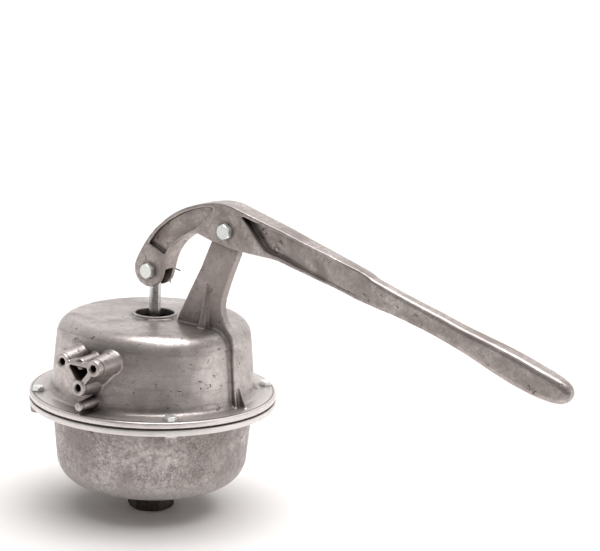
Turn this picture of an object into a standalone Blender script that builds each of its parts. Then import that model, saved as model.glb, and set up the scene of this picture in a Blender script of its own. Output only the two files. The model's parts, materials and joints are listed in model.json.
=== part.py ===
"""Hand well pump: a lift-type diaphragm pump with a cast lever.

Two bolted castings hold a rubber diaphragm between their flanges.  A lever on a
fulcrum bracket lifts the rod, the rod lifts the diaphragm's clamp plates, and two
valves let the water through.  Lengths are in metres, +Z runs up the pump's axis,
+X points to the grip, the outlet faces -Y, and the origin is the centre of the
inlet fitting's bottom face.
"""
import math

import bmesh
import bpy
from mathutils import Matrix, Vector

# ---- driving dimensions -------------------------------------------------------
MM = 0.001
GAP = 0.3                    # clearance between touching pieces, mm
PARTING_Z = 139.0            # height of the flanges' parting plane, mm

FLANGE_R = 147.0
FLANGE_T = 7.0
RUBBER_T = 1.4
BOLT_CIRCLE_R = 137.4
BOLT_ANGLES = (47, 137, 227, 317)
BOLT_R = 4.0                 # M8
BOLT_HEAD_AF = 13.0
BOLT_HEAD_T = 5.3
LUG_R = 9.4
LUG_BOTTOM_Z = -17.0
GUSSET_ANGLES = (2.5, 92.5, 182.5, 272.5)

DRUM_FOOT_R = 120.8
DRUM_TOP_R = 115.8
DRUM_TOP_Z = 97.4
DRUM_DOME = 0.8              # rise of the top towards its rim
DRUM_ROUND = 23.0
WALL = 4.5
HOLE_R = 23.1
RIM_R = 27.5
RIM_TOP_Z = 101.9

BOWL_TOP_R = 119.5
BOWL_LOW_R = 114.0
BOWL_BOTTOM_Z = -104.5
BOWL_ROUND = 34.0
SEAT_PAD_R = 48.0
SEAT_PAD_Z = -94.0

INLET_AF = 48.8
INLET_BORE_R = 19.5          # 1 1/4 inch pipe thread, plain here
INLET_NECK_R = 22.0
INLET_PORT_R = 16.0
GASKET_T = 2.0

PIVOT = (111.0, 217.0)       # x, z above the parting plane
CLEVIS = (0.0, 154.0)
PIN_R = 5.0                  # M10 pins
PIN_HEAD_AF = 17.0
PIN_HEAD_T = 6.4
LEVER_HALF_W = 13.0
BRACKET_HALF_T = 6.0
FORK_HALF_GAP = 7.5
BUSH_R = 7.5

ROD_R = 7.0
ROD_EYE_R = 12.5
ROD_EYE_Y = (-7.2, 2.5)      # the flattened eye stands against the fork's near cheek
ROD_TAIL_Z = -42.0
DISC_Z = -18.0               # middle of the clamped part of the diaphragm at rest
PLATE_R = 64.0
PLATE_T = 5.0
HUB_R = 25.0
HUB_TOP_Z = 0.0
HUB_BORE_R = 13.5
HUB_SCREW_CIRCLE_R = 21.0
PORT_R = 5.5
PORT_CIRCLE_R = 36.0
PLATE_SCREW_CIRCLE_R = 56.0
RUBBER_HOLE_R = 46.0
SHEET_STEPS = 5              # rings in the diaphragm's slope
VALVE_DISC_R = 45.0
STOP_RING_R = 36.0

BOSS_R = 9.2
BOSS_CORE_R = 4.2
MOUTH_Y = -147.0
OUTLET_BOSSES = ((-17.0, 66.7), (29.0, 66.3), (7.0, 39.8))

HINGE_X = 33.0               # suction flap's hinge
HINGE_Z = -84.0
HINGE_SCREW_X = 41.5
SEAT_RING_R = 29.0

ROUND_STEPS = 48


# ---- scene and materials ---------------------------------------------------------
def clear_scene():
    for obj in list(bpy.data.objects):
        bpy.data.objects.remove(obj, do_unlink=True)


def material(name, colour, metallic, roughness):
    mat = bpy.data.materials.new(name)
    mat.use_nodes = True
    shader = mat.node_tree.nodes["Principled BSDF"]
    shader.inputs["Base Color"].default_value = (*colour, 1.0)
    shader.inputs["Metallic"].default_value = metallic
    shader.inputs["Roughness"].default_value = roughness
    return mat


# ---- solids (millimetres, heights above the parting plane) -------------------------
def new_object(name, bm):
    """Close a bmesh into an object, faces outward, in metres above the inlet's face."""
    bmesh.ops.remove_doubles(bm, verts=bm.verts, dist=1e-4)
    bmesh.ops.recalc_face_normals(bm, faces=bm.faces)
    bmesh.ops.translate(bm, verts=bm.verts, vec=(0, 0, PARTING_Z))
    bmesh.ops.scale(bm, verts=bm.verts, vec=(MM, MM, MM))
    mesh = bpy.data.meshes.new(name)
    bm.to_mesh(mesh)
    bm.free()
    obj = bpy.data.objects.new(name, mesh)
    bpy.context.collection.objects.link(obj)
    return obj


def arc(centre, radius, start, end, steps):
    """Points on a circle from start to end, in degrees."""
    points = []
    for i in range(steps + 1):
        angle = math.radians(start + (end - start) * i / steps)
        points.append((centre[0] + radius * math.cos(angle), centre[1] + radius * math.sin(angle)))
    return points


def turned(name, profile, steps=ROUND_STEPS):
    """Turn a closed (radius, height) outline round the Z axis."""
    bm = bmesh.new()
    rings = []
    for radius, height in profile:
        if radius < 1e-6:
            rings.append([bm.verts.new((0, 0, height))])
            continue
        ring = []
        for i in range(steps):
            angle = 2 * math.pi * (i + 0.5) / steps
            ring.append(bm.verts.new((radius * math.cos(angle), radius * math.sin(angle), height)))
        rings.append(ring)
    for low, high in zip(rings, rings[1:] + rings[:1]):
        if len(low) == 1 and len(high) == 1:
            continue
        for i in range(steps):
            j = (i + 1) % steps
            corners = [low[i % len(low)], low[j % len(low)], high[j % len(high)], high[i % len(high)]]
            bm.faces.new(list(dict.fromkeys(corners)))
    return new_object(name, bm)


def slab(name, outline, y0, y1):
    """Extrude an (x, z) outline from y0 to y1."""
    bm = bmesh.new()
    near = [bm.verts.new((x, y0, z)) for x, z in outline]
    far = [bm.verts.new((x, y1, z)) for x, z in outline]
    bm.faces.new(near)
    bm.faces.new(list(reversed(far)))
    for i in range(len(outline)):
        j = (i + 1) % len(outline)
        bm.faces.new((near[j], near[i], far[i], far[j]))
    return new_object(name, bm)


def round_bar(name, start, end, r_start, r_end, steps=24):
    """A cylinder or cone between two points; six steps make a hexagon."""
    bm = bmesh.new()
    start = Vector(start)
    run = Vector(end) - start
    sizes = {"radius1": r_start, "radius2": r_end, "depth": run.length}
    bmesh.ops.create_cone(bm, cap_ends=True, segments=steps, **sizes)
    turn = run.to_track_quat("Z", "Y").to_matrix().to_4x4()
    bmesh.ops.transform(bm, matrix=Matrix.Translation(start + run / 2) @ turn, verts=bm.verts)
    return new_object(name, bm)


def hull(name, points):
    """The convex solid through a few points."""
    bm = bmesh.new()
    for point in points:
        bm.verts.new(point)
    made = bmesh.ops.convex_hull(bm, input=bm.verts)
    bmesh.ops.delete(bm, geom=[g for g in made["geom_interior"] if isinstance(g, bmesh.types.BMVert)])
    bmesh.ops.dissolve_limit(bm, angle_limit=math.radians(0.1), verts=bm.verts, edges=bm.edges)
    return new_object(name, bm)


def boss(name, near, far, r_near, r_far, steps=24):
    """A boss whose two ends both face along Y, however it leans; near and far are (x, y, z)."""
    rims = []
    for (x, y, z), radius in ((near, r_near), (far, r_far)):
        rims += [(rx, y, rz) for rx, rz in arc((x, z), radius, 0, 360, steps)[:-1]]
    return hull(name, rims)


def box(name, low, high):
    corners = [(x, y, z) for x in (low[0], high[0]) for y in (low[1], high[1]) for z in (low[2], high[2])]
    return hull(name, corners)


def combine(obj, tool, operation):
    """Boolean one object with another, keep the first and drop the second."""
    modifier = obj.modifiers.new("join", "BOOLEAN")
    modifier.operation = operation
    modifier.object = tool
    modifier.solver = "EXACT"
    graph = bpy.context.evaluated_depsgraph_get()
    mesh = bpy.data.meshes.new_from_object(obj.evaluated_get(graph))
    obj.modifiers.remove(modifier)
    obj.data = mesh
    bpy.data.objects.remove(tool, do_unlink=True)


def join(obj, *tools):
    for tool in tools:
        combine(obj, tool, "UNION")


def cut(obj, *tools):
    for tool in tools:
        combine(obj, tool, "DIFFERENCE")


def finish(obj, mat, origin=(0, 0, 0)):
    """Give a piece its material and shading, and its origin (mm above the parting plane)."""
    obj.data.materials.clear()
    obj.data.materials.append(mat)
    place = Vector((origin[0], origin[1], origin[2] + PARTING_Z)) * MM
    obj.data.transform(Matrix.Translation(-place))
    obj.location = place
    obj.data.shade_smooth()
    obj.data.set_sharp_from_angle(angle=math.radians(35))
    return obj


def on_circle(radius, angle):
    return radius * math.cos(math.radians(angle)), radius * math.sin(math.radians(angle))


def upright_bolt(name, x, y, seat_z, radius, length, head_af, head_t):
    """A hex-headed bolt with its head standing on seat_z and its shank below it."""
    head_r = head_af / 2 / math.cos(math.pi / 6)
    bolt = round_bar(name, (x, y, seat_z), (x, y, seat_z + head_t), head_r, head_r, 6)
    join(bolt, round_bar("shank", (x, y, seat_z + 1), (x, y, seat_z - length), radius, radius, 8))
    return bolt


# ---- castings ----------------------------------------------------------------------
def bracket_outline():
    """Fulcrum bracket and the rib that carries it down the drum's side, in x and z."""
    front = [(36, 93), (38, 99), (46.5, 119), (57, 140), (71, 167), (86, 202)]
    eye = arc(PIVOT, 17.0, 200, -20, 12)
    back = [(122, 188), (113, 166), (104.5, 141), (101.6, 124), (106, 108), (116.5, 95.5)]
    side_rib = [(120.8, 84), (123.5, 45), (126, 20), (128.5, 6), (112, 4), (104, 60), (86, 84)]
    return front + eye + back + side_rib


def upper_housing(mat):
    half_rubber = RUBBER_T / 2 + GAP
    flange_top = half_rubber + FLANGE_T
    round_centre = (DRUM_TOP_R - DRUM_ROUND, DRUM_TOP_Z - DRUM_ROUND)
    outer = [(0, half_rubber), (FLANGE_R, half_rubber), (FLANGE_R, flange_top - 1.2)]
    outer += [(FLANGE_R - 1.2, flange_top), (DRUM_FOOT_R + 7, flange_top)]
    outer += [(DRUM_FOOT_R + 2, flange_top + 2), (DRUM_FOOT_R, flange_top + 7)]
    outer += arc(round_centre, DRUM_ROUND, 0, 90, 6)
    outer += [(RIM_R, DRUM_TOP_Z + DRUM_DOME), (RIM_R, RIM_TOP_Z), (0, RIM_TOP_Z)]
    housing = turned("upper_housing", outer)
    join(housing, slab("bracket", bracket_outline(), -BRACKET_HALF_T, BRACKET_HALF_T))
    for side in (-1, 1):
        wedge = [(x, side * y, z) for x, y, z in ((81.5, 4, 161), (84, 4, 161), (73, 4, 92), (86, 4, 92),
                                                  (74, 15, 92), (84, 15, 92))]
        join(housing, hull("wedge", wedge))
    foot = [(122, y, z) for y in (1, 4) for z in (38, 5)] + [(137, y, z) for y in (1, 4) for z in (8.5, 5)]
    join(housing, hull("foot_gusset", foot))
    outlet(housing)

    inner_r = DRUM_TOP_R - WALL
    cavity = [(0, half_rubber - 5), (DRUM_FOOT_R - WALL, half_rubber - 5), (DRUM_FOOT_R - WALL, half_rubber)]
    cavity += arc(round_centre, inner_r - round_centre[0], 0, 90, 4)
    cavity += [(HOLE_R, DRUM_TOP_Z - WALL), (HOLE_R, RIM_TOP_Z + 5), (0, RIM_TOP_Z + 5)]
    cut(housing, turned("cavity", cavity))
    duct = [(-8, 65), (20, 65), (21, 61), (11, 49), (4, 49)]
    cut(housing, slab("duct", duct, MOUTH_Y - 5, -95))
    join(housing, round_bar("duct_stud", (7.5, -113, 67.4), (6, MOUTH_Y + 4, 66.8), 8.8, 6.4, 16))
    for x, z in OUTLET_BOSSES:
        core_end = (x, MOUTH_Y + 20, z)
        cut(housing, round_bar("core", (x, MOUTH_Y - 5, z), core_end, BOSS_CORE_R, BOSS_CORE_R, 12))
    for angle in BOLT_ANGLES:
        x, y = on_circle(BOLT_CIRCLE_R, angle)
        cut(housing, round_bar("bolt_hole", (x, y, -5), (x, y, 15), BOLT_R + 0.4, BOLT_R + 0.4, 12))
    x, z = PIVOT
    cut(housing, round_bar("eye", (x, -20, z), (x, 20, z), BUSH_R + GAP, BUSH_R + GAP, 24))
    return finish(housing, mat)


def outlet(housing):
    """Three screw bosses, joined by thin webs round the outlet duct."""
    (lx, lz), (rx, rz), (bx, bz) = OUTLET_BOSSES
    web = [(lx, lz + 3), (rx, rz + 3), (bx + 4, bz), (bx - 4, bz)]
    join(housing, slab("duct_wall", web, MOUTH_Y + 1, -104))
    join(housing, boss("left_boss", (lx, MOUTH_Y, lz), (lx + 1, -102, lz + 3.5), BOSS_R, 12.5))
    join(housing, boss("right_boss", (rx, MOUTH_Y, rz), (rx - 2, -104, rz + 1), BOSS_R, 14.5))
    join(housing, boss("low_boss", (bx, MOUTH_Y, bz), (bx, -111, bz), BOSS_R, 13.0))
    join(housing, boss("solid_boss", (8, MOUTH_Y, 17.5), (9, -112, 18.5), 5.0, 8.2, 16))
    side_view = ((-140, 15), (-145, 7), (-112, 6), (-112, 15))
    join(housing, hull("foot_web", [(x, y, z) for x in (6, 9) for y, z in side_view]))


def lower_bowl(mat):
    half_rubber = RUBBER_T / 2 + GAP
    flange_low = -half_rubber - FLANGE_T
    round_centre = (BOWL_LOW_R - BOWL_ROUND, BOWL_BOTTOM_Z + BOWL_ROUND)
    outer = [(0, -half_rubber), (FLANGE_R, -half_rubber), (FLANGE_R, flange_low + 1.2)]
    outer += [(FLANGE_R - 1.2, flange_low), (BOWL_TOP_R + 2, flange_low), (BOWL_TOP_R, flange_low - 3)]
    outer += arc(round_centre, BOWL_ROUND, 0, -90, 6)
    outer += [(0, BOWL_BOTTOM_Z)]
    bowl = turned("lower_bowl", outer)
    for angle in BOLT_ANGLES:
        x, y = on_circle(BOLT_CIRCLE_R, angle)
        join(bowl, round_bar("lug", (x, y, flange_low + 3), (x, y, LUG_BOTTOM_Z), LUG_R, LUG_R - 0.8, 20))
        web = []
        for radius in (BOLT_CIRCLE_R, 112):
            for side in (-7, 7):
                wx, wy = on_circle(radius, angle)
                nx, ny = on_circle(side, angle + 90)
                web += [(wx + nx, wy + ny, flange_low + 3), (wx + nx, wy + ny, LUG_BOTTOM_Z + 2)]
        join(bowl, hull("lug_web", web))
    for angle in GUSSET_ANGLES:
        gusset = []
        for side in (-1.7, 1.7):
            nx, ny = on_circle(side, angle + 90)
            for radius, z in ((142, flange_low + 2), (112, flange_low + 2), (112, -24)):
                gx, gy = on_circle(radius, angle)
                gusset.append((gx + nx, gy + ny, z))
        join(bowl, hull("gusset", gusset))

    inner_round = BOWL_ROUND - 4
    cavity = [(0, 3), (BOWL_TOP_R - WALL, 3), (BOWL_TOP_R - WALL, -half_rubber)]
    cavity += arc(round_centre, inner_round, 0, -90, 4)
    cavity += [(SEAT_PAD_R + 3, BOWL_BOTTOM_Z + 4), (SEAT_PAD_R, SEAT_PAD_Z), (0, SEAT_PAD_Z)]
    cut(bowl, turned("cavity", cavity))
    neck_r = INLET_NECK_R + 0.4
    cut(bowl, round_bar("neck_hole", (0, 0, -120), (0, 0, -85), neck_r, neck_r, 32))
    for angle in BOLT_ANGLES:
        x, y = on_circle(BOLT_CIRCLE_R, angle)
        cut(bowl, round_bar("tapped_hole", (x, y, 5), (x, y, -40), BOLT_R + 0.4, BOLT_R + 0.4, 12))
    for y in (-7, 7):
        cut(bowl, round_bar("screw_hole", (HINGE_SCREW_X, y, -102), (HINGE_SCREW_X, y, -90), 2.3, 2.3, 12))
    return finish(bowl, mat)


# ---- inlet and suction valve ---------------------------------------------------------
def inlet_fitting(mat):
    hex_top = BOWL_BOTTOM_Z - GASKET_T - 2 * GAP
    corner_r = INLET_AF / 2 / math.cos(math.pi / 6)
    fitting = round_bar("inlet_fitting", (0, 0, -PARTING_Z), (0, 0, hex_top), corner_r, corner_r, 6)
    chamfer = [(30, -PARTING_Z - 2), (30, -PARTING_Z + 5), (INLET_AF / 2 - 1.5, -PARTING_Z - 2)]
    cut(fitting, turned("chamfer", chamfer, 48))
    neck_top = (0, 0, SEAT_PAD_Z - 1)
    join(fitting, round_bar("neck", (0, 0, hex_top - 3), neck_top, INLET_NECK_R, INLET_NECK_R, 32))
    below = (0, 0, -PARTING_Z - 5)
    cut(fitting, round_bar("bore", below, (0, 0, -PARTING_Z + 22), INLET_BORE_R, INLET_BORE_R, 32))
    cut(fitting, round_bar("port", below, (0, 0, -80), INLET_PORT_R, INLET_PORT_R, 32))
    return finish(fitting, mat)


def ring(name, r_in, r_out, z0, z1, mat, steps=28):
    return finish(turned(name, [(r_in, z0), (r_out, z0), (r_out, z1), (r_in, z1)], steps), mat)


def suction_valve(metal, rubber):
    seat_low = SEAT_PAD_Z + GAP
    seat_top = seat_low + 3.0
    ring("suction_valve_seat", 17.0, SEAT_RING_R, seat_low, seat_top, metal)
    facing_low = seat_top + GAP
    facing = round_bar("suction_valve_facing", (0, 0, facing_low), (0, 0, facing_low + 2.5), 25, 25, 32)
    finish(facing, rubber, (HINGE_X, 0, HINGE_Z))
    plate_low = facing_low + 2.5 + GAP
    flap = round_bar("suction_valve_flap", (0, 0, plate_low), (0, 0, plate_low + 3), 23, 23, 32)
    join(flap, box("arm", (10, -7, plate_low + 0.5), (HINGE_X, 7, plate_low + 4)))
    join(flap, round_bar("knuckle", (HINGE_X, -7, HINGE_Z), (HINGE_X, 7, HINGE_Z), 4, 4, 16))
    cut(flap, round_bar("pin_hole", (HINGE_X, -12, HINGE_Z), (HINGE_X, 12, HINGE_Z), 2.3, 2.3, 12))
    finish(flap, metal, (HINGE_X, 0, HINGE_Z))

    bracket = box("flap_hinge_bracket", (SEAT_RING_R + 1, -13, seat_low), (45, 13, seat_low + 2.5))
    for side in (-1, 1):
        low, high = sorted((side * 7.5, side * 12))
        join(bracket, box("lug", (SEAT_RING_R + 1, low, seat_low + 1), (38, high, HINGE_Z + 4.5)))
    cut(bracket, round_bar("pin_hole", (HINGE_X, -20, HINGE_Z), (HINGE_X, 20, HINGE_Z), 2.3, 2.3, 12))
    for y in (-7, 7):
        start, end = ((HINGE_SCREW_X, y, z) for z in (-100, -85))
        cut(bracket, round_bar("screw_hole", start, end, 2.3, 2.3, 12))
    finish(bracket, metal)
    pin = round_bar("flap_hinge_pin", (HINGE_X, -14, HINGE_Z), (HINGE_X, 14, HINGE_Z), 2, 2, 12)
    finish(pin, metal)
    return seat_low + 2.5 + GAP


def bracket_screws(seat_z, mat):
    """Two short screws that hold the hinge bracket down on the bowl's pad."""
    for number, y in enumerate((-7, 7), 1):
        screw = upright_bolt(f"flap_bracket_screw_{number}", HINGE_SCREW_X, y, seat_z, 2.0, 9, 6, 2.5)
        finish(screw, mat)


# ---- diaphragm, its plates and the delivery valve ------------------------------------------
def diaphragm(mat):
    half = RUBBER_T / 2
    top = []
    for i in range(SHEET_STEPS + 1):
        share = i / SHEET_STEPS
        ease = share * share * (3 - 2 * share)
        top.append((112 - share * (112 - PLATE_R - 2), DISC_Z * ease + half))
    bottom = [(r, z - RUBBER_T) for r, z in reversed(top)]
    profile = [(FLANGE_R - 1, half)] + top + [(RUBBER_HOLE_R, DISC_Z + half), (RUBBER_HOLE_R, DISC_Z - half)]
    profile += bottom + [(FLANGE_R - 1, -half)]
    sheet = turned("diaphragm", profile, 32)
    for angle in BOLT_ANGLES:
        x, y = on_circle(BOLT_CIRCLE_R, angle)
        cut(sheet, round_bar("bolt_hole", (x, y, -5), (x, y, 5), BOLT_R + 0.5, BOLT_R + 0.5, 12))
    for angle in BOLT_ANGLES:
        x, y = on_circle(PLATE_SCREW_CIRCLE_R, angle)
        cut(sheet, round_bar("screw_hole", (x, y, -30), (x, y, -5), 3.0, 3.0, 8))
    return finish(sheet, mat)


def clamp_plate(name, low, high, hub_top, mat):
    profile = [(HUB_BORE_R, low), (PLATE_R, low), (PLATE_R, high)]
    if hub_top:
        profile += [(HUB_R, high), (HUB_R, hub_top), (HUB_BORE_R, hub_top)]
    else:
        profile += [(HUB_BORE_R, high)]
    plate = turned(name, profile, 32)
    for angle in range(0, 360, 60):
        x, y = on_circle(PORT_CIRCLE_R, angle)
        cut(plate, round_bar("port", (x, y, low - 3), (x, y, high + 3), PORT_R, PORT_R, 8))
    for angle in BOLT_ANGLES:
        x, y = on_circle(PLATE_SCREW_CIRCLE_R, angle)
        cut(plate, round_bar("screw_hole", (x, y, low - 3), (x, y, high + 3), 3.0, 3.0, 8))
    if hub_top:
        for angle in (30, 150, 270):
            x, y = on_circle(HUB_SCREW_CIRCLE_R, angle)
            cut(plate, round_bar("tapped_hole", (x, y, hub_top - 7), (x, y, hub_top + 3), 1.9, 1.9, 6))
    return finish(plate, mat)


def diaphragm_plates(metal, steel, rubber):
    half = RUBBER_T / 2 + GAP
    upper_low = DISC_Z + half
    upper_high = upper_low + PLATE_T
    lower_high = DISC_Z - half
    lower_low = lower_high - PLATE_T
    clamp_plate("upper_clamp_plate", upper_low, upper_high, HUB_TOP_Z, metal)
    clamp_plate("lower_clamp_plate", lower_low, lower_high, None, metal)

    disc_low = upper_high + GAP
    ring("delivery_valve_disc", HUB_R + 0.6, VALVE_DISC_R, disc_low, disc_low + 3, rubber, 32)

    stop_low = HUB_TOP_Z + GAP
    outline = [(HUB_BORE_R, stop_low), (STOP_RING_R, stop_low)]
    outline += [(STOP_RING_R, stop_low + 2.5), (HUB_BORE_R, stop_low + 2.5)]
    stop = turned("valve_stop_ring", outline, 32)
    for angle in (30, 150, 270):
        x, y = on_circle(HUB_SCREW_CIRCLE_R, angle)
        cut(stop, round_bar("screw_hole", (x, y, -5), (x, y, 8), 1.9, 1.9, 6))
    finish(stop, metal)
    for number, angle in enumerate((30, 150, 270), 1):
        x, y = on_circle(HUB_SCREW_CIRCLE_R, angle)
        screw = upright_bolt(f"stop_ring_screw_{number}", x, y, stop_low + 2.5 + GAP, 1.5, 8, 5.0, 2.0)
        finish(screw, steel)

    nut_high = lower_low - GAP
    for number, angle in enumerate(BOLT_ANGLES, 1):
        x, y = on_circle(PLATE_SCREW_CIRCLE_R, angle)
        length = upper_high - nut_high + 5.5
        finish(upright_bolt(f"plate_screw_{number}", x, y, upper_high + GAP, 2.5, length, 8, 3.5), steel)
        nut = round_bar(f"plate_nut_{number}", (x, y, nut_high), (x, y, nut_high - 4), 4.6, 4.6, 6)
        cut(nut, round_bar("thread", (x, y, nut_high + 3), (x, y, nut_high - 8), 2.9, 2.9, 8))
        finish(nut, steel)
    return stop_low + 2.5, lower_low


def piston_rod(mat):
    x, z = CLEVIS
    rod = round_bar("piston_rod", (x, 0, ROD_TAIL_Z), (x, 0, z - 4), ROD_R, ROD_R, 20)
    near, far = ((x, y, z) for y in ROD_EYE_Y)
    join(rod, round_bar("eye", near, far, ROD_EYE_R, ROD_EYE_R, 28))
    cut(rod, round_bar("pin_hole", (x, -20, z), (x, 20, z), PIN_R + GAP, PIN_R + GAP, 20))
    return finish(rod, mat, (x, 0, z))


def rod_hardware(upper_seat, lower_seat, mat):
    """Washers and thin nuts above and below the hub; the rod rocks in it, so they stand clear."""
    hole = ROD_R + GAP
    washer_low = upper_seat + 2.2
    origin = (CLEVIS[0], 0, CLEVIS[1])
    for name, low, high, r_out, steps in (
            ("rod_upper_washer", washer_low, washer_low + 2.5, 15.5, 24),
            ("rod_lower_washer", lower_seat - 8.0, lower_seat - 5.5, 15.5, 24)):
        washer = turned(name, [(hole, low), (r_out, low), (r_out, high), (hole, high)], steps)
        finish(washer, mat, origin)
    for name, low, high in (
            ("rod_upper_nut", washer_low + 2.5 + GAP, washer_low + 10.5),
            ("rod_lower_nut", lower_seat - 15.5, lower_seat - 8.0 - GAP)):
        nut = round_bar(name, (0, 0, low), (0, 0, high), 12.7, 12.7, 6)
        cut(nut, round_bar("thread", (0, 0, low - 3), (0, 0, high + 3), hole, hole, 20))
        finish(nut, mat, origin)


# ---- lever and pins ---------------------------------------------------------------------------
# Stations along the lever: outer edge (x, z), inner edge (x, z), half width.
LEVER_STATIONS = (
    ((-15, 174), (21, 159), 13.0), ((-3, 193), (25.5, 174), 13.0), ((7, 205), (31.5, 184), 13.0),
    ((17, 214), (38.5, 192.5), 13.0), ((29, 224), (46.5, 199), 13.0), ((44, 233), (55, 205), 13.0),
    ((58, 239), (65, 209), 13.0), ((73, 244), (74, 207.5), 13.0), ((88, 247), (90, 203), 13.0),
    ((101, 248.5), (104, 200.5), 13.0), ((116, 247.5), (118, 198), 13.0), ((131, 243.5), (133, 196.5), 13.0),
    ((158, 236), (159, 195), 12.6), ((186, 228.5), (181, 193.5), 11.8), ((214, 220), (205, 187.5), 10.8),
    ((268, 204.5), (262, 173), 8.8), ((296, 196.5), (290, 164.5), 8.0), ((306, 192), (302, 161.5), 8.2),
    ((318, 187.5), (314, 159), 8.6), ((371, 171.5), (360, 149), 9.2), ((422, 156.5), (410, 134.5), 10.0),
    ((472, 143.5), (461, 115), 11.0), ((520, 128.5), (510, 99), 11.4), ((540, 120.5), (532, 94.8), 10.2),
    ((550.5, 114.5), (546, 95.3), 8.0), ((555.5, 109.5), (553.5, 100), 5.0))
GRIP_FIRST_X = 310


def lever_section(outer, inner, half_w, corner):
    """A rectangle with cut corners between the lever's outer and inner edge."""
    outer = Vector((outer[0], 0, outer[1]))
    inner = Vector((inner[0], 0, inner[1]))
    depth = (inner - outer).length
    down = (inner - outer) / depth
    corner = min(corner, depth * 0.3, half_w * 0.6)
    points = []
    near_side = [(half_w - corner, 0), (half_w, corner), (half_w, depth - corner), (half_w - corner, depth)]
    far_side = [(-across, along) for across, along in reversed(near_side)]
    for across, along in near_side + far_side:
        point = outer + down * along
        points.append((point.x, across, point.z))
    return points


def lever_blank():
    """The solid lever: round fork end, arched arm, tapering shank and a fuller grip."""
    nose_r = 20.8
    centre = Vector((-1, 155.5))
    lean = Vector((0.36, 0.933))
    side = Vector((lean.y, -lean.x))
    sections = []
    for angle in (15, 38, 62, 88):
        back = centre - lean * nose_r * math.cos(math.radians(angle))
        spread = side * nose_r * math.sin(math.radians(angle))
        sections.append(lever_section(back - spread, back + spread, LEVER_HALF_W, 1.0))
    for outer, inner, half_w in LEVER_STATIONS:
        sections.append(lever_section(outer, inner, half_w, 1.0 if outer[0] < GRIP_FIRST_X else 5.0))
    bm = bmesh.new()
    rings = [[bm.verts.new(point) for point in section] for section in sections]
    for a, b in zip(rings, rings[1:]):
        for i in range(len(a)):
            j = (i + 1) % len(a)
            bm.faces.new((a[i], a[j], b[j], b[i]))
    bm.faces.new(rings[0])
    bm.faces.new(rings[-1])
    return new_object("lever", bm)


def lever(mat):
    body = lever_blank()
    arm_pocket = [(0, 187), (7, 197), (15, 206), (29, 217.5), (44, 227), (58, 233.5), (73, 238.5), (91, 242),
                  (88, 235), (66, 214.5), (52, 207), (38, 197), (22.2, 178)]
    shank_pocket = [(134, 236), (158, 230), (214, 215), (284, 195), (284, 171), (205, 192.5), (168, 200.5)]
    for outline, floor in ((arm_pocket, 8.0), (shank_pocket, 6.5)):
        for side in (-1, 1):
            cut(body, slab("pocket", outline, side * floor, side * 30))
    px, pz = PIVOT
    bracket_room = arc(PIVOT, 23.0, 150, 30, 10)
    bracket_room += [(px + 38, pz - 8), (px + 38, pz - 60), (px - 34, pz - 60), (px - 34, pz - 4)]
    slot_y = BRACKET_HALF_T + 0.5
    cut(body, slab("bracket_slot", bracket_room, -slot_y, slot_y))
    cx, cz = CLEVIS
    rod_room = arc(CLEVIS, 17.0, 165, 10, 10)
    rod_room += [(cx + 40, cz + 6), (cx + 40, cz - 40), (cx - 40, cz - 40), (cx - 40, cz)]
    cut(body, slab("rod_slot", rod_room, -FORK_HALF_GAP, FORK_HALF_GAP))
    for x, z in (PIVOT, CLEVIS):
        cut(body, round_bar("pin_hole", (x, -30, z), (x, 30, z), PIN_R + GAP, PIN_R + GAP, 20))
    return finish(body, mat, (px, 0, pz))


SPLIT_Y = LEVER_HALF_W + 6.0  # where the split pins cross their pins


def headed_pin(name, place, mat):
    """Hex head on the near side of the lever, a hole for the split pin on the far side."""
    x, z = place
    near = -LEVER_HALF_W - GAP
    head_r = PIN_HEAD_AF / 2 / math.cos(math.pi / 6)
    pin = round_bar(name, (x, near, z), (x, near - PIN_HEAD_T, z), head_r, head_r, 6)
    join(pin, round_bar("shank", (x, near - 2, z), (x, SPLIT_Y + 5, z), PIN_R, PIN_R, 20))
    cut(pin, round_bar("split_hole", (x - 12, SPLIT_Y, z), (x + 12, SPLIT_Y, z), 2.05, 2.05, 12))
    return finish(pin, mat, (PIVOT[0], 0, PIVOT[1]))


def pin_washer(name, place, mat):
    x, z = place
    low = LEVER_HALF_W + GAP
    washer = round_bar(name, (x, low, z), (x, low + 2, z), 12, 12, 28)
    cut(washer, round_bar("hole", (x, low - 5, z), (x, low + 6, z), PIN_R + GAP, PIN_R + GAP, 20))
    return finish(washer, mat, (PIVOT[0], 0, PIVOT[1]))


def split_pin(name, place, mat):
    """A bent wire: one leg stays straight, the other turns down round the pin's far side."""
    x, z = place
    leg = 0.95
    path = [(22.5, -1.6), (12, 0), (7, leg), (-6, leg)]
    path += arc((-9.0, 0), 2.8, 55, 305, 6)
    path += [(-6, -leg), (4.8, -leg), (6.4, -leg - 0.9), (6.9, -leg - 3), (6.9, -13.5), (7.6, -18.5)]
    curve = bpy.data.curves.new(name, "CURVE")
    curve.dimensions = "3D"
    curve.bevel_depth = 0.75 * MM
    curve.bevel_resolution = 1
    curve.use_fill_caps = True
    spline = curve.splines.new("POLY")
    spline.points.add(len(path) - 1)
    for point, (dx, dz) in zip(spline.points, path):
        point.co = ((x + dx) * MM, SPLIT_Y * MM, (z + dz + PARTING_Z) * MM, 1)
    wire = bpy.data.objects.new("wire", curve)
    bpy.context.collection.objects.link(wire)
    graph = bpy.context.evaluated_depsgraph_get()
    obj = bpy.data.objects.new(name, bpy.data.meshes.new_from_object(wire.evaluated_get(graph)))
    bpy.context.collection.objects.link(obj)
    bpy.data.objects.remove(wire, do_unlink=True)
    return finish(obj, mat, (PIVOT[0], 0, PIVOT[1]))


def fulcrum_bush(mat):
    x, z = PIVOT
    half = BRACKET_HALF_T
    bush = round_bar("fulcrum_bush", (x, -half, z), (x, half, z), BUSH_R, BUSH_R, 24)
    cut(bush, round_bar("bore", (x, -20, z), (x, 20, z), PIN_R + GAP, PIN_R + GAP, 20))
    return finish(bush, mat)


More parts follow.
